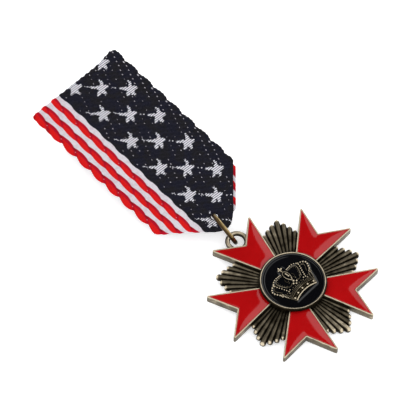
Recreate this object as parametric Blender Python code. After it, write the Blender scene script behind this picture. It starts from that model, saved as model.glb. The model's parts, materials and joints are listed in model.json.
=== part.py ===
"""Service medal: an enamelled five-armed star on a jump ring, a folded ribbon and a brooch pin.

Metres. +X runs across the ribbon, +Y up its length and +Z out of its face. The medal lies face
up on a table: the origin is the middle of its bounding box, at the table. The layout is drawn
about the ribbon's hole and is shifted to that origin at the end.
"""

import math

import bmesh
import bpy
import numpy as np
from mathutils import Matrix, Vector

MM = 0.001
GAP = 0.1 * MM  # clearance between pieces that are set into each other
OVERCUT = 1 * MM  # how far a cutter runs on past the face it cuts
SINK = 0.2 * MM  # how far joined shapes reach into each other

# Ribbon: one folded band with a slanting top fold and a blunt pointed lower end.
RIBBON_WIDTH = 32 * MM
RIBBON_THICK = 1.8 * MM
RIBBON_TOP_LEFT = 56.1 * MM
RIBBON_TOP_RIGHT = 57.9 * MM
RIBBON_LEFT_SHOULDER = 4.5 * MM
RIBBON_RIGHT_SHOULDER = 8.8 * MM
RIBBON_POINT = ((-2.6 * MM, -6.3 * MM), (1.0 * MM, -6.8 * MM))
RIBBON_CORNER = 1 * MM  # radius of the outline's corners
RIBBON_EDGE = 0.35 * MM  # bevel of the fold's soft edges
RIBBON_UNDERSIDE = 4.6 * MM
RIBBON_HOLE = (0.0, -1.0 * MM)
RIBBON_HOLE_RADIUS = 1.75 * MM

# Jump ring: round wire, standing on the table and leaning towards the ribbon's red side.
RING_RADIUS = 4.725 * MM  # wire centreline
RING_WIRE = 0.625 * MM  # wire radius
RING_CENTRE = (-0.5 * MM, -5.87 * MM)
RING_LEAN = math.radians(20.4)
RING_HEADING = math.radians(-7.6)
RING_SPLIT = math.radians(4)  # the butt joint's width, in the ring's own angle
RING_SPLIT_AT = math.radians(-110)  # from the chord, so that the joint is low by the eyelet

# Star: arms, ray fans and eyelet, cast in one piece. Heights are above its flat back.
ARMS = 5
ARM_TIP = 24.3 * MM  # where the tip's two edges would meet: rounding takes 0.7 mm off it
ARM_HALF_ANGLE = math.radians(18.83)
ARM_NOTCH = 17.1 * MM
ARM_TOP = 2.4 * MM
ARM_TIP_ROUND = 0.35 * MM
ARM_RIM = 0.5 * MM
ENAMEL_DEPTH = 0.7 * MM
ENAMEL_PROUD = 0.05 * MM  # how far the fillings stand over their rims
HUB_RADIUS = 8.5 * MM
RAYS = 7
RAY_MIDDLE = 20.6 * MM
RAY_STEP = 1.15 * MM
RAY_VALLEY = 0.9 * MM
RAY_BACK = 0.15 * MM
RAY_RISE = 0.45  # a ray's height above its valley, as a share of its width
RAY_NOSE = 0.5  # how far its end is rounded, as a share of its width
RAY_END_RISE = 0.35  # what is left of its height at its very end
CELL_SINK = 0.3 * MM  # how far a cell's cutter starts inside the hub
ROOT_SINK = 1 * MM  # how far arms and rays start inside the hub
RAY_OVERLAP = math.radians(1)  # how far a fan runs on into the arm beside it
EYELET_DISTANCE = 19.93 * MM
EYELET_RADIUS = 2.575 * MM
EYELET_WIRE = 0.675 * MM
EYELET_HEIGHT = 0.9 * MM
STAR_TURN = math.radians(6.3)
STAR_TILT = math.radians(2.74)
STAR_CENTRE = (2.36 * MM, -29.86 * MM)

# Centre: a turned bezel on a peg, a black enamel disc and a crown.
BOSS_RADIUS = 9.2 * MM
BOSS_RIM = 0.75 * MM
BOSS_TOP = 3.5 * MM
BOSS_FLOOR = 2.85 * MM
BOSS_FOOT = 0.2 * MM  # height of the small chamfer under the bezel
BOSS_SHOULDER = 0.25 * MM  # how far the bezel's crest stands over its outer edge
BOSS_LIP = 0.15 * MM  # and over its inner edge
PEG_RADIUS = 1.5 * MM
PEG_HOLE_RADIUS = 1.6 * MM
DISC_TOP = 3.15 * MM
DISC_MENISCUS = 0.1 * MM  # how much lower the disc is at its edge
DISC_FLAT = 0.6  # radius of its level middle, as a share of its own
CROWN_HEIGHT = 0.6 * MM
CROWN_BAND_CENTRE = (0, -13.2 * MM)  # the band's lower edge is an arc about this point
CROWN_BAND_RADIUS = 9 * MM
CROWN_BAND_SPREAD = math.radians(25)
# in mm, up one side from the band's end to the cross, and the openings inside that side's two arches
CROWN_SIDE = ((4.7, -3.3), (5.5, -1.0), (6.8, 0.8), (6.6, 1.9), (4.8, 3.4), (1.3, 3.8), (0.7, 4.3), (0.5, 5.4))
CROWN_OPENINGS = (
    ((1.2, 0.9), (2.5, -0.6), (3.1, 0.2), (3.7, 1.5), (3.6, 2.5), (2.6, 2.9), (1.2, 2.8)),
    ((4.6, -0.7), (5.2, -0.4), (5.9, 0.8), (5.9, 1.4), (5.2, 1.8), (4.9, 0.8)),
)

# Brooch pin behind the ribbon's upper end.
BAR_LENGTH = 27 * MM
BAR_WIDTH = 5 * MM
BAR_THICK = 0.6 * MM
BAR_CORNER = 1.5 * MM
BAR_Y = 47 * MM
PIN_HEIGHT = 1.9 * MM
HINGE_X = -11.6 * MM
CATCH_X = 10.8 * MM
EAR_RADIUS = 1.4 * MM
EAR_THICK = 0.6 * MM
EAR_SPACE = 1.5 * MM
RIVET_RADIUS = 0.5 * MM
RIVET_CLEARANCE = 0.08 * MM
RIVET_HEAD_RADIUS = 0.85 * MM
RIVET_HEAD = 0.35 * MM
PIN_RADIUS = 0.42 * MM
PIN_EYE_RADIUS = 1.15 * MM
DRUM_RADIUS = 1.2 * MM
DRUM_BORE = 0.65 * MM
DRUM_LENGTH = 3.6 * MM
DRUM_SLOT = 1.1 * MM
CLAW_INNER = 1.3 * MM
CLAW_OUTER = 1.8 * MM
CLAW_LENGTH = 0.9 * MM
CLAW_SPACE = 1.5 * MM
CLAW_HALF_OPENING = math.radians(42)
NECK_WIDTH = 1.6 * MM
LEVER_ROOT = 0.9 * MM
LEVER_REACH = 2.5 * MM
LEVER_WIDTH = 0.9 * MM
LEVER_THICK = 0.5 * MM
TACK_WIDTH = 1.6 * MM
TACK_THICK = 0.35 * MM
TACK_X = (-7.5 * MM, 6.5 * MM)

BRASS = ("antique_brass", (0.23, 0.19, 0.12), 0.42, 1.0)
RING_BRASS = ("ring_brass", (0.36, 0.25, 0.10), 0.3, 1.0)
STEEL = ("nickelled_steel", (0.62, 0.62, 0.60), 0.3, 1.0)
RED_ENAMEL = ("red_enamel", (0.50, 0.006, 0.008), 0.12, 0.0)
BLACK_ENAMEL = ("black_enamel", (0.004, 0.004, 0.006), 0.08, 0.0)
NAVY_CLOTH = ("navy_cloth", (0.012, 0.013, 0.03), 0.9, 0.0)
THREAD = ("navy_thread", (0.02, 0.02, 0.045), 0.85, 0.0)


def clear_scene():
    for old in list(bpy.data.objects):
        bpy.data.objects.remove(old, do_unlink=True)


def material(look):
    """The Principled material of a (name, colour, roughness, metallic) look."""
    name, colour, roughness, metallic = look
    made = bpy.data.materials.get(name)
    if made:
        return made
    made = bpy.data.materials.new(name)
    made.use_nodes = True
    shader = made.node_tree.nodes["Principled BSDF"]
    shader.inputs["Base Color"].default_value = (*colour, 1)
    shader.inputs["Roughness"].default_value = roughness
    shader.inputs["Metallic"].default_value = metallic
    made.diffuse_color = (*colour, 1)
    return made


def empty(name, parent=None, location=(0, 0, 0), axes=None):
    """A joint or frame empty. axes holds its X, Y and Z directions under its parent."""
    made = bpy.data.objects.new(name, None)
    made.empty_display_size = 4 * MM
    bpy.context.scene.collection.objects.link(made)
    made.parent = parent
    turn = Matrix([list(axis) for axis in axes]).transposed().to_4x4() if axes else Matrix()
    made.matrix_local = Matrix.Translation(location) @ turn
    return made


def solid(name, bm, look, parent=None, sharp=35):
    """An object from a bmesh, with outward normals and smooth round faces."""
    bmesh.ops.recalc_face_normals(bm, faces=bm.faces)
    mesh = bpy.data.meshes.new(name)
    bm.to_mesh(mesh)
    bm.free()
    made = bpy.data.objects.new(name, mesh)
    bpy.context.scene.collection.objects.link(made)
    made.parent = parent
    mesh.materials.append(material(look))
    mesh.shade_smooth()
    mesh.set_sharp_from_angle(angle=math.radians(sharp))
    return made


def combine(target, tool, operation):
    """A Boolean of target with tool, which becomes a hidden helper."""
    modifier = target.modifiers.new(tool.name, "BOOLEAN")
    modifier.operation = operation
    modifier.object = tool
    tool.hide_render = True
    tool.display_type = "WIRE"


def prism(outline, low, high):
    """A closed bmesh between two heights over an outline of (x, y) points."""
    bm = bmesh.new()
    bottom = bm.faces.new([bm.verts.new((x, y, low)) for x, y in outline])
    raised = bmesh.ops.extrude_face_region(bm, geom=[bottom])["geom"]
    verts = [item for item in raised if isinstance(item, bmesh.types.BMVert)]
    bmesh.ops.translate(bm, verts=verts, vec=(0, 0, high - low))
    bmesh.ops.triangulate(bm, faces=[f for f in bm.faces if len(f.verts) > 4])
    return bm


def turned(profile, steps):
    """A closed bmesh turned about Z from (radius, height) points, first and last on the axis."""
    bm = bmesh.new()
    ends = [bm.verts.new((0, 0, profile[0][1])), bm.verts.new((0, 0, profile[-1][1]))]
    rings = []
    for radius, height in profile[1:-1]:
        rings.append([bm.verts.new((x, y, height)) for x, y in circle((0, 0), radius, steps)])
    for lower, upper in zip(rings, rings[1:]):
        for i in range(steps):
            j = (i + 1) % steps
            bm.faces.new((lower[i], lower[j], upper[j], upper[i]))
    for end, ring in zip(ends, (rings[0], rings[-1])):
        for i in range(steps):
            bm.faces.new((end, ring[i], ring[(i + 1) % steps]))
    return bm


def swept(sections, closed):
    """A closed bmesh through rings of points: joined end to start if closed, else capped."""
    bm = bmesh.new()
    rings = [[bm.verts.new(point) for point in section] for section in sections]
    count = len(rings[0])
    pairs = list(zip(rings, rings[1:]))
    if closed:
        pairs.append((rings[-1], rings[0]))
    for first, second in pairs:
        for i in range(count):
            j = (i + 1) % count
            bm.faces.new((first[i], first[j], second[j], second[i]))
    if not closed:
        bm.faces.new(rings[0])
        bm.faces.new(rings[-1][::-1])
    return bm


def wire_ring(radius, wire, steps, sides, start=0.0, end=2 * math.pi):
    """A ring of round wire about Z: whole, or open from its end angle round to its start."""
    whole = end - start > 2 * math.pi - 1e-6
    sections = []
    for i in range(steps if whole else steps + 1):
        around = start + (end - start) * i / steps
        out = Vector((math.cos(around), math.sin(around), 0))
        section = []
        for j in range(sides):
            turn = 2 * math.pi * j / sides
            section.append(out * (radius + wire * math.cos(turn)) + Vector((0, 0, wire * math.sin(turn))))
        sections.append(section)
    return swept(sections, whole)


def arc_points(centre, radius, start, end, steps):
    """Points along an arc, both ends included. Angles are in radians."""
    angles = [start + (end - start) * i / steps for i in range(steps + 1)]
    return [(centre[0] + radius * math.cos(a), centre[1] + radius * math.sin(a)) for a in angles]


def circle(centre, radius, steps):
    """The corners of a regular polygon, anticlockwise."""
    return arc_points(centre, radius, 0, 2 * math.pi * (steps - 1) / steps, steps - 1)


def rounded(outline, radii, steps=3):
    """An outline with each corner rounded by its own radius, or left sharp at radius 0."""
    made = []
    for i, radius in enumerate(radii):
        here = Vector(outline[i])
        before = (Vector(outline[i - 1]) - here).normalized()
        after = (Vector(outline[(i + 1) % len(outline)]) - here).normalized()
        if radius == 0:
            made.append(tuple(here))
            continue
        half = before.angle(after) / 2
        centre = here + (before + after).normalized() * radius / math.sin(half)
        first = (here + before * radius / math.tan(half) - centre).normalized()
        last = (here + after * radius / math.tan(half) - centre).normalized()
        for k in range(steps + 1):
            made.append(tuple(centre + first.slerp(last, k / steps) * radius))
    return made


def inset(outline, distance):
    """An anticlockwise outline moved inwards by a distance, with mitred corners."""
    made = []
    for i, point in enumerate(outline):
        here = Vector(point)
        before = (here - Vector(outline[i - 1])).normalized()
        after = (Vector(outline[(i + 1) % len(outline)]) - here).normalized()
        left_before = Vector((-before.y, before.x))
        left_after = Vector((-after.y, after.x))
        mitre = (left_before + left_after).normalized()
        made.append(tuple(here + mitre * distance / mitre.dot(left_after)))
    return made


def turn_about_z(bm, angle):
    bmesh.ops.rotate(bm, verts=bm.verts, cent=(0, 0, 0), matrix=Matrix.Rotation(angle, 3, "Z"))
    return bm


def lay_along_y(bm):
    """Turns a shape made about Z to lie about Y."""
    bmesh.ops.rotate(bm, verts=bm.verts, cent=(0, 0, 0), matrix=Matrix.Rotation(math.pi / 2, 3, "X"))
    return bm


def stand_across_x(bm):
    """Turns a shape drawn in XY to stand across X: its x and y become Y and Z."""
    bmesh.ops.rotate(bm, verts=bm.verts, cent=(0, 0, 0), matrix=Matrix(((0, 0, 1), (1, 0, 0), (0, 1, 0))))
    return bm


def box(low, high):
    """A closed bmesh of a block between two opposite corners."""
    outline = [(low[0], low[1]), (high[0], low[1]), (high[0], high[1]), (low[0], high[1])]
    return prism(outline, low[2], high[2])


def make_ribbon(parent):
    """The folded band as one slab, with its point, its hole and the fold's soft edges."""
    half = RIBBON_WIDTH / 2
    corners = [
        (-half, RIBBON_TOP_LEFT),
        (-half, RIBBON_LEFT_SHOULDER),
        *RIBBON_POINT,
        (half, RIBBON_RIGHT_SHOULDER),
        (half, RIBBON_TOP_RIGHT),
    ]
    outline = rounded(corners, [RIBBON_CORNER] * len(corners), steps=4)
    slab = prism(outline, RIBBON_UNDERSIDE, RIBBON_UNDERSIDE + RIBBON_THICK)
    ribbon = solid("ribbon", slab, NAVY_CLOTH, parent)
    edges = ribbon.modifiers.new("soft_edges", "BEVEL")
    edges.width = RIBBON_EDGE
    edges.segments = 2
    edges.limit_method = "ANGLE"
    edges.angle_limit = math.radians(60)
    below, above = RIBBON_UNDERSIDE - OVERCUT, RIBBON_UNDERSIDE + RIBBON_THICK + OVERCUT
    hole = prism(circle(RIBBON_HOLE, RIBBON_HOLE_RADIUS, 24), below, above)
    combine(ribbon, solid("ribbon_hole_cutter", hole, NAVY_CLOTH, parent), "DIFFERENCE")
    return ribbon


def arm_outline():
    """One arm pointing along +Y: its root inside the hub, two tips and the notch."""
    root = HUB_RADIUS - ROOT_SINK
    left = (-root * math.tan(ARM_HALF_ANGLE), root)
    right = (root * math.tan(ARM_HALF_ANGLE), root)
    tip_x, tip_y = ARM_TIP * math.sin(ARM_HALF_ANGLE), ARM_TIP * math.cos(ARM_HALF_ANGLE)
    return [left, right, (tip_x, tip_y), (0, ARM_NOTCH), (-tip_x, tip_y)]


def arm_body():
    """One arm with its open cell for the enamel."""
    outline = rounded(arm_outline(), [0, 0, ARM_TIP_ROUND, 0, ARM_TIP_ROUND])
    return prism(outline, 0, ARM_TOP)


def cell_outline(clearance):
    """The enamel cell of one arm, less a clearance, from the hub out to the rim."""
    cell = inset(arm_outline(), ARM_RIM + clearance)
    start = HUB_RADIUS + (GAP if clearance else -CELL_SINK)
    slope = math.tan(ARM_HALF_ANGLE)
    edge = start * slope - (ARM_RIM + clearance) / math.cos(ARM_HALF_ANGLE)
    return [(-edge, start), (edge, start)] + cell[2:]


def ray_fan():
    """Seven half-round rays fanning out between two arms, about +Y, longest in the middle."""
    spread = math.pi / ARMS - ARM_HALF_ANGLE
    pitch = 2 * spread / RAYS
    samples = 4  # along each ray's width
    lengths = [RAY_MIDDLE - RAY_STEP * abs(k - RAYS // 2) for k in range(RAYS)]
    inner = HUB_RADIUS - ROOT_SINK
    bm = bmesh.new()
    rows = []
    for i in range(RAYS * samples + 1):
        ray, part = divmod(i, samples)
        angle = -spread + pitch * i / samples
        if i in (0, RAYS * samples):
            angle += math.copysign(RAY_OVERLAP, angle)
        bulge = math.sqrt(1 - (2 * part / samples - 1) ** 2)
        sides = [lengths[k] for k in (ray, ray - 1) if 0 <= k < RAYS]
        reach = min(sides) if part == 0 else lengths[ray]
        width = reach * pitch
        end = reach - RAY_NOSE * width * (1 - bulge)
        row = []
        for radius, rise in ((inner, 1), (end - RAY_NOSE * width, 1), (end, RAY_END_RISE)):
            top = RAY_VALLEY + RAY_RISE * radius * pitch * bulge * rise
            for height in (top, RAY_BACK):
                row.append(bm.verts.new((-radius * math.sin(angle), radius * math.cos(angle), height)))
        rows.append(row)
    ring = (0, 2, 4, 5, 3, 1)  # round one row: top going out, back coming in
    for first, second in zip(rows, rows[1:]):
        for k in range(6):
            m, n = ring[k], ring[(k + 1) % 6]
            bm.faces.new((first[m], first[n], second[n], second[m]))
    for row in (rows[0], rows[-1]):
        bm.faces.new((row[0], row[2], row[3], row[1]))
        bm.faces.new((row[2], row[4], row[5], row[3]))
    return bm


def make_star(frame):
    """The casting: hub, five arms with cells, five ray fans and the eyelet, joined in one body."""
    hub_profile = [(0, 0), (HUB_RADIUS, 0), (HUB_RADIUS, ARM_TOP), (0, ARM_TOP)]
    star = solid("star_casting", turned(hub_profile, 50), BRASS, frame)
    pitch = 2 * math.pi / ARMS
    for k in range(ARMS):
        fan = turn_about_z(ray_fan(), pitch * (k + 0.5))
        combine(star, solid(f"fan_{k + 1}", fan, BRASS, frame), "UNION")
    for k in range(ARMS):
        arm = turn_about_z(arm_body(), pitch * k)
        combine(star, solid(f"arm_{k + 1}", arm, BRASS, frame), "UNION")
    for k in range(ARMS):
        cell = prism(cell_outline(0), ARM_TOP - ENAMEL_DEPTH, ARM_TOP + OVERCUT)
        combine(star, solid(f"cell_{k + 1}", turn_about_z(cell, pitch * k), BRASS, frame), "DIFFERENCE")
    eyelet = wire_ring(EYELET_RADIUS, EYELET_WIRE, 32, 10)
    bmesh.ops.translate(eyelet, verts=eyelet.verts, vec=(0, EYELET_DISTANCE, EYELET_HEIGHT))
    combine(star, solid("eyelet", eyelet, BRASS, frame), "UNION")
    hole = prism(circle((0, 0), PEG_HOLE_RADIUS, 24), -OVERCUT, ARM_TOP + OVERCUT)
    combine(star, solid("peg_hole", hole, BRASS, frame), "DIFFERENCE")
    return star


def make_arm_enamels(frame):
    """Five enamel fillings, each a little domed over its rim."""
    pitch = 2 * math.pi / ARMS
    for k in range(ARMS):
        low = ARM_TOP - ENAMEL_DEPTH + GAP
        filling = turn_about_z(prism(cell_outline(GAP), low, ARM_TOP + ENAMEL_PROUD), pitch * k)
        solid(f"arm_enamel_{k + 1}", filling, RED_ENAMEL, frame)


def make_centre(frame):
    """The bezel cup with its peg, and the black enamel disc in it."""
    inner = BOSS_RADIUS - BOSS_RIM
    under = ARM_TOP + GAP
    cup = [
        (0, GAP),
        (PEG_RADIUS, GAP),
        (PEG_RADIUS, under),
        (BOSS_RADIUS - BOSS_FOOT / 2, under),
        (BOSS_RADIUS, under + BOSS_FOOT),
        (BOSS_RADIUS, BOSS_TOP - BOSS_SHOULDER),
        (BOSS_RADIUS - BOSS_RIM / 2, BOSS_TOP),
        (inner, BOSS_TOP - BOSS_LIP),
        (inner, BOSS_FLOOR),
        (0, BOSS_FLOOR),
    ]
    solid("centre_boss", turned(cup, 50), BRASS, frame)
    edge = inner - GAP
    disc = [
        (0, BOSS_FLOOR + GAP),
        (edge, BOSS_FLOOR + GAP),
        (edge, DISC_TOP - DISC_MENISCUS),
        (edge * DISC_FLAT, DISC_TOP),
        (0, DISC_TOP),
    ]
    solid("centre_enamel", turned(disc, 40), BLACK_ENAMEL, frame)


def crown_outline():
    """The crown's silhouette: a band with a hollow lower edge, bulging arches, orb and cross."""
    up = math.pi / 2
    start, end = up + CROWN_BAND_SPREAD, up - CROWN_BAND_SPREAD
    lower_edge = arc_points(CROWN_BAND_CENTRE, CROWN_BAND_RADIUS, start, end, 6)
    right = [(x * MM, y * MM) for x, y in CROWN_SIDE]
    left = [(-x, y) for x, y in reversed(right)]
    return lower_edge + right + left


def make_crown(frame):
    """The relief crown: its silhouette with an opening inside each of its four arches."""
    low, high = DISC_TOP + GAP, DISC_TOP + CROWN_HEIGHT
    crown = solid("crown_emblem", prism(crown_outline(), low, high), BRASS, frame)
    for number, opening in enumerate(CROWN_OPENINGS, 1):
        for side, where in ((1, "right"), (-1, "left")):
            outline = [(side * x * MM, y * MM) for x, y in opening]
            cutter = prism(outline, low - OVERCUT, high + OVERCUT)
            combine(crown, solid(f"opening_{number}_{where}", cutter, BRASS, frame), "DIFFERENCE")


def make_jump_ring(pivot, to_centre):
    """The wire ring in the pivot's XY plane, its butt joint at the low side by the eyelet."""
    ring = wire_ring(RING_RADIUS, RING_WIRE, 48, 10, RING_SPLIT / 2, 2 * math.pi - RING_SPLIT / 2)
    turn_about_z(ring, RING_SPLIT_AT)
    bmesh.ops.translate(ring, verts=ring.verts, vec=to_centre)
    solid("jump_ring", ring, RING_BRASS, pivot)


def claw(x_middle, parent, name):
    """One C-shaped claw about X that holds the catch drum, open at the bottom, with its neck."""
    start = -math.pi / 2 + CLAW_HALF_OPENING
    end = 1.5 * math.pi - CLAW_HALF_OPENING
    outer = arc_points((0, 0), CLAW_OUTER, start, end, 20)
    inner = arc_points((0, 0), CLAW_INNER, end, start, 20)
    bm = prism(outer + inner, -CLAW_LENGTH / 2, CLAW_LENGTH / 2)
    stand_across_x(bm)
    bmesh.ops.translate(bm, verts=bm.verts, vec=(x_middle, BAR_Y, PIN_HEIGHT))
    return solid(name, bm, STEEL, parent)


def make_pin_base(parent):
    """The bar with its two hinge ears and its two catch claws, stamped from one sheet."""
    top = RIBBON_UNDERSIDE - GAP
    low = top - BAR_THICK
    half_x, half_y = BAR_LENGTH / 2, BAR_WIDTH / 2
    corners = [(-half_x, -half_y), (half_x, -half_y), (half_x, half_y), (-half_x, half_y)]
    outline = [(x, y + BAR_Y) for x, y in rounded(corners, [BAR_CORNER] * 4, steps=4)]
    bar = solid("pin_base", prism(outline, low, top), STEEL, parent)
    for side, name in ((-1, "front_ear"), (1, "back_ear")):
        combine(bar, make_ear(side, low, parent, name), "UNION")
    for side in (-1, 1):
        x = CATCH_X + side * (CLAW_LENGTH + CLAW_SPACE) / 2
        combine(bar, claw(x, parent, f"claw_{side}"), "UNION")
        corner_low = (x - CLAW_LENGTH / 2, BAR_Y - NECK_WIDTH / 2, PIN_HEIGHT + CLAW_INNER + SINK)
        corner_high = (x + CLAW_LENGTH / 2, BAR_Y + NECK_WIDTH / 2, low + SINK)
        neck = box(corner_low, corner_high)
        combine(bar, solid(f"neck_{side}", neck, STEEL, parent), "UNION")
    bore = lay_along_y(prism(circle((0, 0), RIVET_RADIUS + GAP / 2, 20), -BAR_WIDTH, BAR_WIDTH))
    bmesh.ops.translate(bore, verts=bore.verts, vec=(HINGE_X, BAR_Y, PIN_HEIGHT))
    combine(bar, solid("rivet_bore", bore, STEEL, parent), "DIFFERENCE")


def make_ear(side, bar_low, parent, name):
    """One hinge ear: a plate across Y that hangs from the bar and is round about the rivet."""
    rise = bar_low - PIN_HEIGHT + SINK
    lower = arc_points((0, 0), EAR_RADIUS, math.pi, 2 * math.pi, 12)
    outline = lower + [(EAR_RADIUS, rise), (-EAR_RADIUS, rise)]
    bm = prism(outline, -EAR_THICK / 2, EAR_THICK / 2)
    lay_along_y(bm)
    y = BAR_Y + side * (EAR_SPACE + EAR_THICK) / 2
    bmesh.ops.translate(bm, verts=bm.verts, vec=(HINGE_X, y, PIN_HEIGHT))
    return solid(name, bm, STEEL, parent)


def make_rivet(parent):
    """The rivet through both ears, with a flat head at each end."""
    neck = EAR_SPACE / 2 + EAR_THICK + GAP
    end = neck + RIVET_HEAD
    profile = [
        (0, -end),
        (RIVET_HEAD_RADIUS, -end),
        (RIVET_HEAD_RADIUS, -neck),
        (RIVET_RADIUS, -neck),
        (RIVET_RADIUS, neck),
        (RIVET_HEAD_RADIUS, neck),
        (RIVET_HEAD_RADIUS, end),
        (0, end),
    ]
    bm = lay_along_y(turned(profile, 20))
    bmesh.ops.translate(bm, verts=bm.verts, vec=(HINGE_X, BAR_Y, PIN_HEIGHT))
    solid("hinge_rivet", bm, STEEL, parent)


def make_pin(pivot):
    """The pin about its hinge: a flat eye round the rivet and a tapered wire along +X."""
    half = EAR_SPACE / 2 - GAP
    eye = prism(circle((0, 0), PIN_EYE_RADIUS, 20), -half, half)
    pin = solid("pin_stem", lay_along_y(eye), STEEL, pivot)
    reach = CATCH_X - HINGE_X
    # places along the wire and its radius there: it starts inside the eye and ends in a fine point
    stations = (
        (PIN_EYE_RADIUS - 0.35 * MM, PIN_RADIUS),
        (reach - 3 * MM, PIN_RADIUS),
        (reach + 0.5 * MM, 0.7 * PIN_RADIUS),
        (reach + 2.2 * MM, 0.12 * PIN_RADIUS),
    )
    sections = []
    for x, radius in stations:
        sections.append([(x, y, z) for y, z in circle((0, 0), radius, 12)])
    combine(pin, solid("pin_wire", swept(sections, False), STEEL, pivot), "UNION")
    bore = prism(circle((0, 0), RIVET_RADIUS + RIVET_CLEARANCE, 20), -OVERCUT - half, OVERCUT + half)
    combine(pin, solid("eye_bore", lay_along_y(bore), STEEL, pivot), "DIFFERENCE")


def make_drum(pivot):
    """The catch drum about X: a slotted sleeve, open at the bottom at rest, with a side lever."""
    half_open = math.asin(DRUM_SLOT / 2 / DRUM_BORE)
    outer_open = math.asin(DRUM_SLOT / 2 / DRUM_RADIUS)
    down = -math.pi / 2
    outer = arc_points((0, 0), DRUM_RADIUS, down + outer_open, down + 2 * math.pi - outer_open, 20)
    inner = arc_points((0, 0), DRUM_BORE, down + 2 * math.pi - half_open, down + half_open, 12)
    sleeve = prism(outer + inner, -DRUM_LENGTH / 2, DRUM_LENGTH / 2)
    drum = solid("catch_drum", stand_across_x(sleeve), STEEL, pivot)
    low = (-LEVER_WIDTH / 2, LEVER_ROOT, -LEVER_THICK / 2)
    high = (LEVER_WIDTH / 2, LEVER_REACH, LEVER_THICK / 2)
    combine(drum, solid("drum_lever", box(low, high), STEEL, pivot), "UNION")


def make_tack(name, x, parent):
    """A thread tack: a flat U round the bar, with both legs up to the ribbon's underside."""
    bar_low = RIBBON_UNDERSIDE - GAP - BAR_THICK
    inner = BAR_WIDTH / 2 + GAP
    outer = inner + TACK_THICK
    top, low = RIBBON_UNDERSIDE - GAP, bar_low - GAP
    outline = [
        (-outer, low - TACK_THICK),
        (outer, low - TACK_THICK),
        (outer, top),
        (inner, top),
        (inner, low),
        (-inner, low),
        (-inner, top),
        (-outer, top),
    ]
    bm = stand_across_x(prism(outline, -TACK_WIDTH / 2, TACK_WIDTH / 2))
    bmesh.ops.translate(bm, verts=bm.verts, vec=(x, BAR_Y, 0))
    solid(name, bm, THREAD, parent)


def ring_axes():
    """The jump ring's chord towards the ribbon, its upward direction and its normal."""
    level = Vector((math.cos(RING_HEADING), math.sin(RING_HEADING), 0))
    normal = level * math.cos(RING_LEAN) + Vector((0, 0, math.sin(RING_LEAN)))
    chord = Vector((-math.sin(RING_HEADING), math.cos(RING_HEADING), 0))
    return chord, normal.cross(chord), normal


def where_ring_meets(height, centre, chord, up):
    """The point of the ring's centreline at a height, on the ribbon's side."""
    rise = (height - centre.z) / up.z
    return centre + up * rise + chord * math.sqrt(RING_RADIUS**2 - rise**2)


def star_axes():
    """The star's X, Y (towards its eyelet) and Z directions, with the eyelet's side raised."""
    turn = Matrix.Rotation(STAR_TURN, 3, "Z") @ Matrix.Rotation(STAR_TILT, 3, "X")
    return [turn.col[k].copy() for k in range(3)]


def settle(root):
    """Shifts the medal so that its origin is under the middle of its bounding box, on the table."""
    bpy.context.view_layer.update()
    graph = bpy.context.evaluated_depsgraph_get()
    points = []
    for item in bpy.data.objects:
        if item.type == "MESH" and not item.hide_render:
            shown = item.evaluated_get(graph)
            points += [shown.matrix_world @ vert.co for vert in shown.data.vertices]
    points = np.array(points)
    low, high = points.min(axis=0), points.max(axis=0)
    root.location = (-(low[0] + high[0]) / 2, -(low[1] + high[1]) / 2, -low[2])


def build():
    clear_scene()
    medal = empty("medal")
    make_ribbon(medal)
    make_pin_base(medal)
    make_rivet(medal)
    for x, side in zip(TACK_X, ("left", "right")):
        make_tack(f"stitch_tack_{side}", x, medal)
    make_pin(empty("pin_pivot", medal, (HINGE_X, BAR_Y, PIN_HEIGHT)))
    make_drum(empty("drum_pivot", medal, (CATCH_X, BAR_Y, PIN_HEIGHT)))

    chord, up, normal = ring_axes()
    centre = Vector((*RING_CENTRE, RING_RADIUS * up.z + RING_WIRE))
    ribbon_middle = RIBBON_UNDERSIDE + RIBBON_THICK / 2
    hole_point = where_ring_meets(ribbon_middle, centre, chord, up)
    ring_pivot = empty("ring_pivot", medal, hole_point, (chord, up, normal))
    to_centre = centre - hole_point
    make_jump_ring(ring_pivot, (to_centre.dot(chord), to_centre.dot(up), 0))

    x_axis, y_axis, z_axis = star_axes()
    lowest_tip = ARM_TIP * math.cos(math.pi / ARMS - ARM_HALF_ANGLE)
    star_centre = Vector((*STAR_CENTRE, lowest_tip * math.sin(STAR_TILT)))
    to_ring = Matrix((chord, up, normal))
    star_pivot = empty(
        "star_pivot",
        ring_pivot,
        to_ring @ (centre - hole_point),
        [to_ring @ axis for axis in (x_axis, y_axis, z_axis)],
    )
    to_star = Matrix((x_axis, y_axis, z_axis))
    star_frame = empty("star_frame", star_pivot, to_star @ (star_centre - centre))
    make_star(star_frame)
    make_arm_enamels(star_frame)
    make_centre(star_frame)
    make_crown(star_frame)
    settle(medal)


build()
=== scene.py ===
import json
import math

import bpy
import numpy as np
from mathutils import Matrix, Vector
from mathutils.geometry import delaunay_2d_cdt


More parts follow.
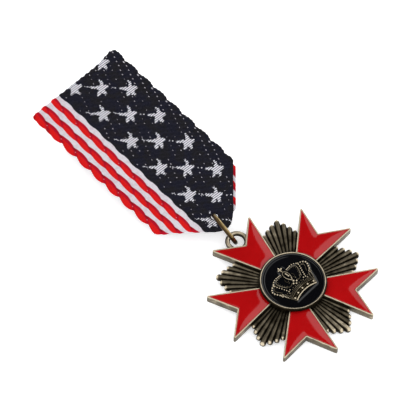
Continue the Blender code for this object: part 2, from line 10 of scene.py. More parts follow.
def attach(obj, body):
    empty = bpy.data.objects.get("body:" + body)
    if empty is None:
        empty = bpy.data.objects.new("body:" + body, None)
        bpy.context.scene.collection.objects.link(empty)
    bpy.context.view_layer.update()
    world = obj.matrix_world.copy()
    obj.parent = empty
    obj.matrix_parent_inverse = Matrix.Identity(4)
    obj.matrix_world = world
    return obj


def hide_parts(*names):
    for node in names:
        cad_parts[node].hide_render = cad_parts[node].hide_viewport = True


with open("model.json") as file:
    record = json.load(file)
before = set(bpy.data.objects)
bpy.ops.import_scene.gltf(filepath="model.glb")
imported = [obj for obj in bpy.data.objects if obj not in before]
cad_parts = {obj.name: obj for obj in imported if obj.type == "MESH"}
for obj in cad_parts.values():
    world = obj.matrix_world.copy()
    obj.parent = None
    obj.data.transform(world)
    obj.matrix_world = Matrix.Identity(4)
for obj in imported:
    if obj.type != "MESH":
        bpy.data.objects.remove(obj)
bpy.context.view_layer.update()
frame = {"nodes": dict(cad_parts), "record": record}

# Everything is drawn in millimetres in the part's own layout frames, then set in the row frame in metres.
MM = 0.001
TAU = 2 * math.pi
RECORD = frame["record"]

# The layout frame: x = 0 in the middle of the ribbon, z = 0 at the table.
RIBBON_HALF = 16.0
RIBBON_TOP = 57.9  # at the right, from where the top fold slants down to the left
RIBBON_SLANT = 1.8
RIBBON_FACE = 6.4
PIN_HINGE = Vector((-11.6, 47.0, 1.9))  # mm
pin_joint = next(j for j in RECORD["behaviour"]["joints"] if j["name"] == "pin_open")
LAYOUT = Matrix.Translation(Vector(pin_joint["pos_m"]) - PIN_HINGE * MM)

# The star's own frame, from its flat back: the mount's point lies 5 mm along the star's X.
star_turn = Matrix.Rotation(math.radians(6.3), 3, "Z") @ Matrix.Rotation(math.radians(2.74), 3, "X")
star_mount = next(m for m in RECORD["mounts"] if m["name"] == "star_back")
STAR = Matrix.Translation(Vector(star_mount["pos_m"]) - star_turn.col[0] * 5 * MM) @ star_turn.to_4x4()


# ---------------------------------------------------------------- mesh helpers

class Shells:
    """Closed shells gathered into one mesh, with one number per point for each named attribute."""

    def __init__(self, *names):
        self.points, self.faces, self.count = [], [], 0
        self.values = {name: [] for name in names}

    def add(self, points, faces, **values):
        points = np.asarray(points, float).reshape(-1, 3)
        self.points.append(points)
        self.faces += [tuple(int(i) + self.count for i in face) for face in faces]
        for name, gathered in self.values.items():
            value = values.get(name, 0.0)
            gathered.append(np.broadcast_to(np.asarray(value, float), len(points)))
        self.count += len(points)

    def piece(self, name, matrix, material, body, replaces, sharp=None):
        points = np.concatenate(self.points) * MM
        turn = np.array(matrix.to_3x3())
        world = points @ turn.T + np.array(matrix.translation)
        mesh = bpy.data.meshes.new(name)
        mesh.from_pydata(world.tolist(), [], self.faces)
        mesh.update()
        for key, gathered in self.values.items():
            layer = mesh.attributes.new(key, "FLOAT", "POINT")
            layer.data.foreach_set("value", np.concatenate(gathered).astype(np.float32))
        mesh.materials.append(material)
        mesh.shade_smooth()
        if sharp is not None:
            mesh.set_sharp_from_angle(angle=math.radians(sharp))
        made = bpy.data.objects.new(name, mesh)
        bpy.context.scene.collection.objects.link(made)
        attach(made, body)
        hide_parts(*replaces)
        return made


def loft(rings, closed=False, caps=True):
    """(points, faces) through rings of equally many points, which turn anticlockwise seen from the end."""
    rings = [np.asarray(ring, float) for ring in rings]
    n = len(rings[0])
    faces = []
    pairs = [(i, i + 1) for i in range(len(rings) - 1)]
    if closed:
        pairs.append((len(rings) - 1, 0))
    for a, b in pairs:
        for i in range(n):
            j = (i + 1) % n
            faces.append((a * n + i, a * n + j, b * n + j, b * n + i))
    if caps and not closed:
        faces.append(tuple(range(n - 1, -1, -1)))
        faces.append(tuple((len(rings) - 1) * n + i for i in range(n)))
    return np.concatenate(rings), faces


def lathe(profile, steps):
    """(points, faces) of a closed (radius, height) profile loop turned about Z."""
    rings = []
    for i in range(steps):
        a = TAU * i / steps
        rings.append([(r * math.cos(a), r * math.sin(a), z) for r, z in profile])
    return loft(rings, closed=True)


def disc(profile, steps=96):
    """(points, faces) of a solid of revolution from (radius, height) points, bottom centre to top centre."""
    rings = [[(r * math.cos(TAU * i / steps), r * math.sin(TAU * i / steps), z) for i in range(steps)]
             for r, z in profile if r > 0]
    points, faces = loft(rings, caps=False)
    low, high = len(points), len(points) + 1
    points = np.concatenate([points, [(0, 0, profile[0][1]), (0, 0, profile[-1][1])]])
    last = (len(rings) - 1) * steps
    for i in range(steps):
        j = (i + 1) % steps
        faces.append((low, j, i))
        faces.append((high, last + i, last + j))
    return points, faces


def tube(path, radius, sides=8, flat=1.0):
    """(points, faces) of a round or flattened wire along a path that lies near level, with closed ends."""
    path = np.asarray(path, float)
    along = np.gradient(path, axis=0)
    along /= np.linalg.norm(along, axis=1)[:, None]
    side = np.cross(along, (0.0, 0.0, 1.0))
    side /= np.linalg.norm(side, axis=1)[:, None]
    over = np.cross(side, along)
    radius = np.broadcast_to(np.asarray(radius, float), len(path))
    turns = TAU * np.arange(sides) / sides
    rings = []
    for p, s, o, r in zip(path, side, over, radius):
        rings.append(p + r * (np.cos(turns)[:, None] * s + flat * np.sin(turns)[:, None] * o))
    points, faces = loft(rings)
    return points, [face[::-1] for face in faces]


def ball(centre, radius, around=10, rings=6, stretch=(1, 1, 1)):
    """(points, faces) of a small round bead."""
    points = [(0, 0, -1.0)]
    for i in range(1, rings):
        lat = math.pi * i / rings - math.pi / 2
        for j in range(around):
            lon = TAU * j / around
            points.append((math.cos(lat) * math.cos(lon), math.cos(lat) * math.sin(lon), math.sin(lat)))
    points.append((0, 0, 1.0))
    faces = []
    top = len(points) - 1
    for j in range(around):
        k = (j + 1) % around
        faces.append((0, 1 + k, 1 + j))
        faces.append((top, top - around + j, top - around + k))
        for i in range(rings - 2):
            a = 1 + i * around
            faces.append((a + j, a + k, a + around + k, a + around + j))
    return np.array(points) * radius * np.array(stretch) + np.array(centre), faces


def curve_through(points, steps):
    """A smooth Catmull-Rom path of many points through a few."""
    points = np.asarray(points, float)
    padded = np.concatenate([[2 * points[0] - points[1]], points, [2 * points[-1] - points[-2]]])
    made = []
    for a, b, c, d in zip(padded, padded[1:], padded[2:], padded[3:]):
        for t in np.arange(steps) / steps:
            made.append(0.5 * (2 * b + (c - a) * t + (2 * a - 5 * b + 4 * c - d) * t * t
                               + (3 * b - a - 3 * c + d) * t ** 3))
    made.append(points[-1])
    return np.array(made)


def evenly(path, spacing):
    """Points at equal distances along a path."""
    path = np.asarray(path, float)
    reach = np.concatenate([[0], np.cumsum(np.linalg.norm(np.diff(path, axis=0), axis=1))])
    count = max(1, round(reach[-1] / spacing))
    wanted = np.linspace(0, reach[-1], count + 1)
    return np.stack([np.interp(wanted, reach, path[:, k]) for k in range(path.shape[1])], axis=1)


def smoothstep(low, high, value):
    t = np.clip((value - low) / (high - low), 0, 1)
    return t * t * (3 - 2 * t)


def rounded(outline, radii, steps):
    """A flat outline with each corner rounded by its own radius."""
    made = []
    for i, radius in enumerate(radii):
        here = Vector(outline[i])
        before = (Vector(outline[i - 1]) - here).normalized()
        after = (Vector(outline[(i + 1) % len(outline)]) - here).normalized()
        half = before.angle(after) / 2
        centre = here + (before + after).normalized() * radius / math.sin(half)
        first = (here + before * radius / math.tan(half) - centre).normalized()
        last = (here + after * radius / math.tan(half) - centre).normalized()
        for k in range(steps + 1):
            made.append(tuple(centre + first.slerp(last, k / steps) * radius))
    return made


def inset(outline, distance):
    """An anticlockwise outline moved inwards, with mitred corners."""
    made = []
    for i, point in enumerate(outline):
        here = Vector(point)
        before = (here - Vector(outline[i - 1])).normalized()
        after = (Vector(outline[(i + 1) % len(outline)]) - here).normalized()
        left_before = Vector((-before.y, before.x))
        left_after = Vector((-after.y, after.x))
        mitre = (left_before + left_after).normalized()
        made.append(tuple(here + mitre * distance / mitre.dot(left_after)))
    return made


def about_z(points, angle):
    c, s = math.cos(angle), math.sin(angle)
    x, y, z = np.asarray(points, float).reshape(-1, 3).T
    return np.stack([x * c - y * s, x * s + y * c, z], axis=1)


# ---------------------------------------------------------------- material helpers

NOISE_ROUGHNESS = 0.55


class Graph:
    """Short names for building a node tree."""

    def __init__(self, name):
        self.material = bpy.data.materials.new(name)
        self.material.use_nodes = True
        self.tree = self.material.node_tree
        self.shader = self.tree.nodes["Principled BSDF"]

    def node(self, kind, **settings):
        made = self.tree.nodes.new(kind)
        for key, value in settings.items():
            setattr(made, key, value)
        return made

    def put(self, value, socket):
        if isinstance(value, bpy.types.NodeSocket):
            self.tree.links.new(value, socket)
        elif isinstance(value, tuple) and len(value) == 3 and socket.type == "RGBA":
            socket.default_value = (*value, 1)
        else:
            socket.default_value = value

    def math(self, operation, a, b=0.0, c=0.0, clamp=False):
        made = self.node("ShaderNodeMath", operation=operation, use_clamp=clamp)
        for value, socket in zip((a, b, c), made.inputs):
            self.put(value, socket)
        return made.outputs[0]

    def plus(self, a, b, clamp=False):
        return self.math("ADD", a, b, clamp=clamp)

    def minus(self, a, b):
        return self.math("SUBTRACT", a, b)

    def times(self, a, b):
        return self.math("MULTIPLY", a, b)

    def times_plus(self, a, b, c):
        return self.math("MULTIPLY_ADD", a, b, c)

    def length(self, x, y):
        return self.math("SQRT", self.plus(self.times(x, x), self.times(y, y)))

    def waves(self, value, pitch):
        """A sine of a value in millimetres that repeats at a pitch."""
        return self.math("SINE", self.times(value, TAU / pitch))

    def between(self, share, a, b):
        """The number a where the share is 0, and b where it is 1."""
        return self.plus(self.times(self.minus(1.0, share), a), self.times(share, b))

    def range(self, value, low, high, to_low=0.0, to_high=1.0):
        made = self.node("ShaderNodeMapRange", interpolation_type="SMOOTHSTEP")
        for item, socket in zip((value, low, high, to_low, to_high), made.inputs):
            self.put(item, socket)
        return made.outputs[0]

    def mix(self, factor, a, b):
        made = self.node("ShaderNodeMix", data_type="RGBA")
        self.put(factor, made.inputs[0])
        self.put(a, made.inputs[6])
        self.put(b, made.inputs[7])
        return made.outputs[2]

    def attribute(self, name):
        return self.node("ShaderNodeAttribute", attribute_name=name).outputs["Fac"]

    def noise(self, scale, detail):
        made = self.node("ShaderNodeTexNoise")
        made.inputs["Scale"].default_value = scale
        made.inputs["Detail"].default_value = detail
        made.inputs["Roughness"].default_value = NOISE_ROUGHNESS
        self.tree.links.new(self.place(), made.inputs["Vector"])
        return made.outputs["Fac"]

    def place(self):
        return self.node("ShaderNodeTexCoord").outputs["Object"]

    def bump(self, height, distance, strength):
        made = self.node("ShaderNodeBump")
        made.inputs["Strength"].default_value = strength
        made.inputs["Distance"].default_value = distance
        self.tree.links.new(height, made.inputs["Height"])
        return made.outputs["Normal"]

    def set(self, **values):
        for key, value in values.items():
            self.put(value, self.shader.inputs[key.replace("_", " ")])


def metal(name, recess, body, worn, rough, grain=0.00002):
    """A cast or drawn metal: dark in its recesses, pale where its wear attribute is high. That is real wear on
    most parts and painted reflection stripes on the jump ring, and its low end also paints shade on the
    bezel's outer wall.
    """
    g = Graph(name)
    patches = g.noise(420, 4)
    fine = g.noise(2600, 2)
    wear = g.plus(g.attribute("wear"), g.times(g.minus(patches, 0.5), 0.9))
    wear = g.plus(wear, g.times(g.minus(fine, 0.5), 0.16))
    colour = g.mix(g.range(wear, 0.05, 0.5), recess, body)
    colour = g.mix(g.range(wear, 0.5, 0.95), colour, worn)
    g.set(Base_Color=colour, Metallic=1.0)
    g.set(Roughness=g.plus(g.range(wear, 0.0, 1.0, rough + 0.16, rough), g.times(fine, 0.08)))
    g.set(Normal=g.bump(g.plus(fine, g.times(patches, 1.5)), grain, 0.6))
    return g.material


def enamel(name, deep, thin, rough):
    """A glossy filled enamel with faint flow marks."""
    g = Graph(name)
    flow = g.noise(130, 3)
    specks = g.noise(1500, 2)
    colour = g.mix(g.range(flow, 0.3, 0.7), deep, thin)
    g.set(Base_Color=colour, Roughness=g.plus(rough, g.times(specks, 0.03)))
    g.set(Normal=g.bump(g.plus(flow, g.times(specks, 0.04)), 0.00003, 0.5))
    return g.material


BRASS = metal("antique_brass", (0.012, 0.009, 0.005), (0.120, 0.100, 0.068), (0.60, 0.51, 0.365), 0.30)
RING_BRASS = metal(
    "ring_brass", (0.04, 0.024, 0.010), (0.135, 0.090, 0.036), (0.38, 0.28, 0.125), 0.10, grain=0.000008,
)
RED_ENAMEL = enamel("red_enamel", (0.34, 0.0022, 0.003), (0.39, 0.003, 0.004), 0.04)
BLACK_ENAMEL = enamel("black_enamel", (0.0010, 0.0010, 0.0016), (0.002, 0.002, 0.003), 0.035)


# ---------------------------------------------------------------- the woven band

HOLE = (-0.31, -1.5)  # in the front layer
BACK_HOLE = (0.2, -1.13)  # in the layer behind, where the leaning ring crosses it
HOLE_RADIUS = 1.08
FOLD = 0.55  # mm, radius of the folds at the pointed end
ROLL = 0.9  # mm, radius of the roll at the top
CLOTH = 0.45  # mm, the cloth's own thickness
REPEAT = 11.75  # mm, one repeat of the stars along the band
# x, y in the repeat, and the tail's relative length
STAR_ROWS = ((10.1, 9.3, 1.0), (4.4, 3.0, 0.55), (-1.0, 8.0, 0.8))
STAR_RADIUS = 2.6
STAR_WAIST = 0.38  # a star's inner radius, as a share of its own
STAR_SWELL = 0.27  # mm, how far the woven edge lies outside the star that is drawn
STAR_REACH = 2.62  # mm, where a tip is cut off blunt
SQUEEZE = (0.747, -0.665, 0.33)  # the direction in which the stars are drawn in, and by how much
# the cloth is pulled up a little beside the ring: round where, how far out it is felt, and by how much
PULL_MIDDLE, PULL_REACH, PULL_BY = (-1.8, -2.2), (2.5, 7.0), (0.8, -1.55)
# the direction of a star's edge from a tip that lies along X to the waist beside it
STAR_FLANK = Vector((
    STAR_WAIST * math.cos(math.pi / 5) - 1,
    STAR_WAIST * math.sin(math.pi / 5),
)).normalized()
# middle x, a joint's y, half width, and the least reach on the outer side
CORDS = ((-14.7, 46.4, 1.2, 1.4), (-11.25, 44.1, 0.97, 0), (-7.95, 47.5, 0.97, 0))
CORD_PITCH = REPEAT / 2
CORD_LAG = 0.44  # how much later the outer edge has its joint, in pitches
NAVY_EDGE = -5.65
THREAD = 0.42  # mm, pitch of the crosswise threads
DOT_STEP = (-0.57, -REPEAT / 8)  # mm, from one binding dot to the next down its diagonal
DOT_START = (15.2, 46.85)  # the right selvage's notch where a diagonal starts
SELVAGE_PITCH = REPEAT / 2
SELVAGE_REACH = 1.8  # mm, how far in from the edge a notch is felt
EDGE_SOFT = 0.45  # mm, width of the soft edge along a selvage
HEM = 9.0
BAND_LOW = -9.5  # below the lowest point of the fold line
BACK_LEFT = 14.6  # the band behind stays out of sight behind the front's notches here
BACK_RIGHT = 15.3
BACK_TOP = 45.2
BACK_SHIFT = 3.3  # how far the pattern behind has moved along the band
FRONT_STEP, BACK_STEP = 0.25, 0.5  # mm, mesh steps
FRAYED_ENDS = 60
OUTSIDE = -9.0  # mm, a field's value well outside what it outlines


def wave(phase):
    """0 at whole numbers, with a quick rise and a round shoulder: the outline of one leaf."""
    s = phase - np.floor(phase)
    return np.sin(np.pi * s ** 1.25) ** 0.75


def cord_fields(x, y):
    """How far inside a red cord a point is (mm), and its height and its painted shade, for arrays of places.
    """
    inside = np.full(x.shape, OUTSIDE)
    height = np.zeros(x.shape)
    shade = np.zeros(x.shape)
    for middle, joint, half, least in CORDS:
        inner = half * (0.70 + 0.38 * wave((joint - y) / CORD_PITCH))
        outer = np.maximum(half * (0.78 + 0.34 * wave((joint - y) / CORD_PITCH - CORD_LAG)), least)
        u = np.where(x > middle, (x - middle) / inner, (x - middle) / outer)
        gap = np.where(x > middle, inner - (x - middle), outer + (x - middle))
        part = (joint - y) / CORD_PITCH - CORD_LAG * 0.5 * (1 - np.clip(u, -1, 1))
        s = part - np.floor(part)
        swell = smoothstep(0.0, 0.28, s) * (1 - 0.65 * smoothstep(0.72, 1.0, s))
        own = np.sqrt(np.clip(1 - u * u, 0, 1)) * (0.35 + 0.65 * swell)
        here = gap > inside
        inside = np.where(here, gap, inside)
        height = np.where(gap > 0, np.maximum(height, own), height)
        # painted shade: darker in the crease at each joint of the twisted cord, and crimson towards its inner
        # side
        darker = np.clip(0.8 - 1.0 * swell, 0, 1) + 0.95 * smoothstep(-0.1, 0.6, u)
        shade = np.where(gap > -0.2, darker, shade)
    return inside, height, shade


def star_field(x, y):
    """How far inside a woven star a point is, in mm. One tip of each star points down the band."""
    inside = np.full(x.shape, OUTSIDE)
    pull = 1 - smoothstep(*PULL_REACH, np.hypot(x - PULL_MIDDLE[0], y - PULL_MIDDLE[1]))
    x, y = x + PULL_BY[0] * pull, y + PULL_BY[1] * pull
    for cx, cy, _ in STAR_ROWS:
        dy = (y - cy + REPEAT / 2) % REPEAT - REPEAT / 2
        dx = x - cx
        squeezed = SQUEEZE[2] * (SQUEEZE[0] * dx + SQUEEZE[1] * dy)
        dx, dy = dx + SQUEEZE[0] * squeezed, dy + SQUEEZE[1] * squeezed
        angle = np.arctan2(dx, -dy)
        folded = np.abs((angle + np.pi / 5) % (TAU / 5) - np.pi / 5)
        r = np.hypot(dx, dy)
        px, py = r * np.cos(folded), r * np.sin(folded)
        flank = py * STAR_FLANK.x - (px - STAR_RADIUS) * STAR_FLANK.y + STAR_SWELL
        inside = np.maximum(inside, np.minimum(flank, STAR_REACH - r))
    return inside


def band(x, y):
    """Height (mm, below the face) and the fields that the cloth's colours follow, at places on the band."""
    cord, cord_height, shade = cord_fields(x, y)
    star = star_field(x, y)
    edge = NAVY_EDGE + 0.2 * np.sin(TAU * (y - 44.6) / CORD_PITCH)
    white = edge - x  # positive on the striped side
    rib = (x - DOT_START[0] - (y - DOT_START[1]) * DOT_STEP[0] / DOT_STEP[1]) / (-4 * DOT_STEP[0])
    navy_height = 0.66 + 0.13 * np.sin(np.pi * rib) ** 2 + 0.05 * np.sin(TAU * (x + y) / 1.7)
    stripe_height = 0.50 + 0.12 * smoothstep(0, 0.5, -cord) * smoothstep(0, 0.4, white)
    height = np.where(white > 0, stripe_height, navy_height)
    height = np.where(cord > 0, 0.42 + 0.58 * cord_height, height)
    height = height + 0.24 * smoothstep(-0.1, 0.25, star) * (white < 0)
    return (height - 1.0) * 0.5, cord, white, star, shade


V_X = (-16.5, -8.3, -2.5, 0.8, 4.9, 16.5)
V_Y = (5.6, -0.5, -5.55, -6.1, -2.7, 10.3)


def v_line(x):
    """The pointed lower end's fold line, y for each x, with its corners rounded off."""
    return np.mean([np.interp(x + d, V_X, V_Y) for d in np.linspace(-1, 1, 9)], axis=0)


def top_line(x):
    """Where the front starts to turn over at its slanting top fold, y for each x."""
    puffs = 0.28 * np.abs(np.sin(np.pi * (x - 14.2) / 1.9)) * smoothstep(-8, -2, x)
    slant = RIBBON_SLANT * (0.5 - x / (2 * RIBBON_HALF))
    return RIBBON_TOP - ROLL - slant - puffs + 0.75 * smoothstep(9.5, 14.0, x)


def cut_grid(xs, ys, low, hole):
    """(places, quads, the columns' ends) of a grid of columns that end on the line low, with a round hole."""
    index = np.zeros((len(xs), len(ys)), int)
    places = []
    for i, x in enumerate(xs):
        bottom = low[i]
        start = int(np.searchsorted(ys, bottom + 0.35 * (ys[1] - ys[0])))
        places.append((x, bottom))
        first = len(places) - 1
        index[i, :start] = first
        for j in range(start, len(ys)):
            places.append((x, ys[j]))
            index[i, j] = len(places) - 1
    places = np.array(places)
    quads = []
    for i in range(len(xs) - 1):
        for j in range(len(ys) - 1):
            loop = []
            for k in (index[i, j], index[i + 1, j], index[i + 1, j + 1], index[i, j + 1]):
                if k not in loop:
                    loop.append(k)
            if len(loop) > 2:
                quads.append(tuple(loop))
    if hole:
        away = places - np.array(hole)
        r = np.hypot(away[:, 0], away[:, 1])
        step = ys[1] - ys[0]
        inner = r < HOLE_RADIUS - 0.45 * step
        quads = [q for q in quads if not any(inner[k] for k in q)]
        near = (r >= HOLE_RADIUS - 0.45 * step) & (r < HOLE_RADIUS + 0.55 * step)
        places[near] = np.array(hole) + away[near] / r[near][:, None] * HOLE_RADIUS
    used = np.unique(np.concatenate([np.array(q) for q in quads]))
    fresh = np.full(len(places), -1)
    fresh[used] = np.arange(len(used))
    return places[used], [tuple(int(fresh[k]) for k in q) for q in quads], fresh[index[:, 0]]


def thick(outer, inner, faces):
    """A closed slab from matching outer and inner points and the outer faces."""
    count = len(outer)
    edges = {}
    for face in faces:
        for a, b in zip(face, face[1:] + face[:1]):
            edges[(a, b)] = True
    sides = [(b, a, a + count, b + count) for a, b in edges if (b, a) not in edges]
    backs = [tuple(k + count for k in face[::-1]) for face in faces]
    return np.concatenate([outer, inner]), list(faces) + backs + sides


def selvage(x, y):
    """Each x moved in where its selvage has a notch: one a cord's joint, one a diagonal of dots."""
    left = 0.85 * (1 - wave((CORDS[0][1] - y) / CORD_PITCH - CORD_LAG))
    right = 0.62 * (1 - wave((DOT_START[1] + 0.3 - y) / SELVAGE_PITCH)) + 0.08 * np.sin(TAU * y / 1.31)
    drawn_in = 0.55 * smoothstep(-0.8, 1.8, y - top_line(x))
    left_side = smoothstep(-RIBBON_HALF + SELVAGE_REACH, -RIBBON_HALF, x)
    right_side = smoothstep(RIBBON_HALF - SELVAGE_REACH, RIBBON_HALF, x)
    return x + (left + drawn_in) * left_side - (right + drawn_in) * right_side


def bent(x, v, depth):
    """Places at a depth under the outer face, on the front, round the top roll and on the hem behind."""
    start = top_line(x)
    angle = np.clip((v - start) / ROLL, 0, math.pi)
    past = np.maximum(v - start - math.pi * ROLL, 0)
    y = np.minimum(v, start) + (ROLL - depth) * np.sin(angle) - past
    z = RIBBON_FACE - ROLL + (ROLL - depth) * np.cos(angle)
    return np.stack([x, y, z], axis=1)


def level_at(x, y):
    return band(np.array([x]), np.array([y]))[0][0]


def place_on_face(x, y, level):
    return bent(np.array([x]), np.array([y]), np.array([-level]))[0]


def edge_drop(edge):
    """How far the face has sunk at a distance from the selvage."""
    return 0.26 * (1 - smoothstep(0, EDGE_SOFT, edge))


def add_front(cloth):
    """The front with its top roll and hem, and with its pointed end turned under."""
    xs = np.linspace(-RIBBON_HALF, RIBBON_HALF, int(2 * RIBBON_HALF / FRONT_STEP) + 1)
    ys = np.arange(BAND_LOW, RIBBON_TOP - ROLL + math.pi * ROLL + HEM, FRONT_STEP)
    low = v_line(xs)
    places, quads, bottoms = cut_grid(xs, ys, low, HOLE)
    x, v = places[:, 0], places[:, 1]
    rise, cord, white, _, shade = band(x, v)
    edge = RIBBON_HALF - np.abs(x)
    rise = rise - edge_drop(edge) - 0.10 * (1 - smoothstep(0, 1.6, edge))
    hole_edge = np.hypot(x - HOLE[0], v - HOLE[1]) - HOLE_RADIUS
    rise = rise - 0.22 * (1 - smoothstep(0, 0.7, hole_edge))
    rise = rise - 0.10 * (0.5 + 0.5 * np.sin(v / 9 + x / 7))
    notched = selvage(x, v)
    outer = bent(notched, v, -rise)
    inner = bent(notched, v, CLOTH - 0.16 * (1 - smoothstep(0, EDGE_SOFT, edge)))

    # rows that carry on from each column's lower end, round the fold and up behind
    slope = np.gradient(low, xs)
    out = np.stack([slope, -np.ones_like(slope)], axis=1)
    out /= np.linalg.norm(out, axis=1)[:, None]
    extra_outer, extra_inner, extra_at = [], [], []
    rows = [(a, 0.0) for a in np.linspace(0, math.pi, 9)[1:]]
    rows += [(math.pi, back) for back in (0.4, 0.9, 1.4, 1.9)]
    first = len(places)
    faces = list(quads)
    previous = [int(k) for k in bottoms]
    for r, (a, back) in enumerate(rows):
        here = []
        for i in range(len(xs)):
            base = np.array([xs[i], low[i]])
            at = base + out[i] * (FOLD * a + back)
            height = level_at(*at) - edge_drop(RIBBON_HALF - abs(xs[i]))
            puff = 1 + 0.35 * smoothstep(-2.0, 1.0, -abs(xs[i] - 1.5) + 3.0)
            for depth, gathered in ((-height, extra_outer), (CLOTH - 0.02, extra_inner)):
                side = base + out[i] * ((FOLD * puff - depth) * math.sin(a) - back)
                across = selvage(side[0], low[i]) if abs(xs[i]) > 14 else side[0]
                gathered.append((across, side[1], RIBBON_FACE - FOLD + (FOLD - depth) * math.cos(a)))
            extra_at.append(at)
            here.append(first + r * len(xs) + i)
        for i in range(len(xs) - 1):
            faces.append((here[i], here[i + 1], previous[i + 1], previous[i]))
        previous = here
    at_x, at_v = np.array(extra_at).T
    _, cord_e, white_e, _, shade_e = band(at_x, at_v)
    outer = np.concatenate([outer, extra_outer])
    inner = np.concatenate([inner, extra_inner])
    points, faces = thick(outer, inner, faces)

    def both(front, turned):
        """A field of the outer points, and again for the inner ones."""
        return np.tile(np.concatenate([front, turned]), 2)

    away = np.concatenate([edge, RIBBON_HALF - np.abs(at_x)])
    flip = np.concatenate([np.zeros(len(outer)), smoothstep(0.6, 1.0, away)])
    cloth.add(points, faces, cord=both(cord, cord_e), white=both(white, white_e), shade=both(shade, shade_e),
              cloth_x=both(x, at_x), cloth_y=both(v, at_v), reverse=flip)


def back_gap(x):
    """How far above the point's fold line the band behind starts."""
    return 0.9 - 2.55 * smoothstep(3.2, 6.5, x)


def add_back(cloth):
    """The band folded up behind, mirrored by its two diagonal folds."""
    xs = np.linspace(-BACK_LEFT, BACK_RIGHT, int((BACK_LEFT + BACK_RIGHT) / BACK_STEP) + 1)
    ys = np.arange(BAND_LOW, BACK_TOP, BACK_STEP)
    places, quads, _ = cut_grid(xs, ys, v_line(xs) + back_gap(xs), BACK_HOLE)
    x, v = places[:, 0], places[:, 1]
    mirrored, shifted = -x * RIBBON_HALF / BACK_RIGHT, v + BACK_SHIFT
    rise, cord, white, _, shade = band(mirrored, shifted)
    edge = np.minimum(BACK_RIGHT - x, BACK_LEFT + x)
    lower = v - (v_line(x) + back_gap(x))
    soft = 0.2 * (1 - smoothstep(0, EDGE_SOFT, edge)) + 0.2 * (1 - smoothstep(0, 0.5, lower))
    outer = np.stack([x, v, 5.22 + 0.8 * rise - soft], axis=1)
    inner = np.stack([x, v, 4.66 + 0.5 * soft], axis=1)
    points, faces = thick(outer, inner, quads)
    flip = np.concatenate([np.zeros(len(outer)), np.ones(len(inner))])
    fields = {"cord": cord, "white": white, "shade": shade, "cloth_x": mirrored, "cloth_y": shifted}
    cloth.add(points, faces, reverse=flip, **{name: np.tile(field, 2) for name, field in fields.items()})


def add_dots(cloth, random):
    """Binding dots: pale floats down each diagonal, bright near the selvage and uneven further in."""
    for start in range(-2, 15):
        for k in range(36):
            x = DOT_START[0] + k * DOT_STEP[0]
            y = DOT_START[1] + (start - 3) * SELVAGE_PITCH + k * DOT_STEP[1]
            strength = random.rand() if k > 5 else 1.0
            here = np.array([x]), np.array([y])
            if strength < 0.42 or y < v_line(here[0])[0] + 0.3 or y > top_line(x) + 1.2:
                continue
            if star_field(*here)[0] > -0.3 or math.hypot(x - HOLE[0], y - HOLE[1]) < HOLE_RADIUS + 0.4:
                continue
            size = 0.13 * strength if k else 0.2
            side = selvage(x, y) + 0.05 * random.randn() - 0.1 * (k == 0)
            middle = place_on_face(side, y, level_at(x, y) - 0.4 * size)
            points, faces = ball(middle, size, 8, 4, (0.9, 1.9, 0.8))
            cloth.add(points, faces, dot=1.0, white=OUTSIDE, cord=OUTSIDE, cloth_x=x, cloth_y=y)
    for k in range(9):
        for x, top in ((-14.65, 50.7), (-8.3, 51.9)):
            y = top - k * CORD_PITCH
            if y < v_line(x) + 0.5:
                continue
            points, faces = ball(place_on_face(x, y, level_at(x, y) - 0.04), 0.12, 8, 4, (1, 1.4, 0.8))
            cloth.add(points, faces, dot=0.45, white=OUTSIDE, cord=-OUTSIDE, cloth_x=x, cloth_y=y)


def add_hole(cloth, random):
    """The hole's sealed navy wall through the folded layers, a dark sleeve that paints the shade inside the
    hole, and frayed ends round it, navy too, which also paint shade at its edge.
    """
    # navy all over: the wall and the threads are dark to paint the shade in the hole
    hole_shade_navy = {"white": OUTSIDE, "cord": OUTSIDE, "cloth_x": 9.0, "cloth_y": 5.0}
    behind, front = Vector((*BACK_HOLE, 4.72)), Vector((*HOLE, 6.0))
    rings = []
    for a in TAU * np.arange(48) / 48:
        out = Vector((math.cos(a), math.sin(a), 0))
        near, far = out * HOLE_RADIUS, out * (HOLE_RADIUS + 0.3)
        rings.append([tuple(p) for p in (behind + near, behind + far, front + far, front + near)])
    points, faces = loft(rings, closed=True)
    cloth.add(points, faces, **hole_shade_navy)
    for k in range(FRAYED_ENDS):
        a = TAU * (k + 0.6 * random.rand()) / FRAYED_ENDS
        long = 0.02 + 0.10 * random.rand() ** 2
        swing = 0.5 * random.randn()
        if math.cos(a - math.pi / 3) > 0.3:
            continue  # the ring has rubbed these away
        path = []
        for t in np.linspace(-0.35, 1, 4):
            r = HOLE_RADIUS - long * t
            b = a + 0.12 * swing * max(t, 0) ** 2
            z = 5.95 - 0.35 * random.rand() * max(t, 0)
            path.append((HOLE[0] + r * math.cos(b), HOLE[1] + r * math.sin(b), z))
        points, faces = tube(path, [0.07, 0.065, 0.05, 0.03], 5)
        cloth.add(points, faces, **hole_shade_navy)


def make_ribbon():
    cloth = Shells("cord", "white", "shade", "cloth_x", "cloth_y", "dot", "reverse")
    random = np.random.RandomState(4)
    add_front(cloth)
    add_back(cloth)
    add_dots(cloth, random)
    add_hole(cloth, random)
    made = cloth.piece("ribbon_cloth", LAYOUT, cloth_material(), "ribbon_body", ["ribbon"])


def star_tail(tail):
    """The loose floats beside a star, each as (start, end, half width), for the tail's relative length."""
    return (
        ((-1.2, 1.5), (-1.7 - 0.2 * tail, 1.9 + 0.3 * tail), 0.36),
        ((-2.15 - 0.3 * tail, 2.55 + 0.35 * tail), (-2.15 - 0.6 * tail, 2.75 + 0.6 * tail), 0.15),
        ((-2.3 - 0.85 * tail, 2.85 + 0.85 * tail), (-2.3 - 0.9 * tail, 2.9 + 0.9 * tail), 0.19),
        ((1.1, 2.0), (1.35, 2.75), 0.2),
    )


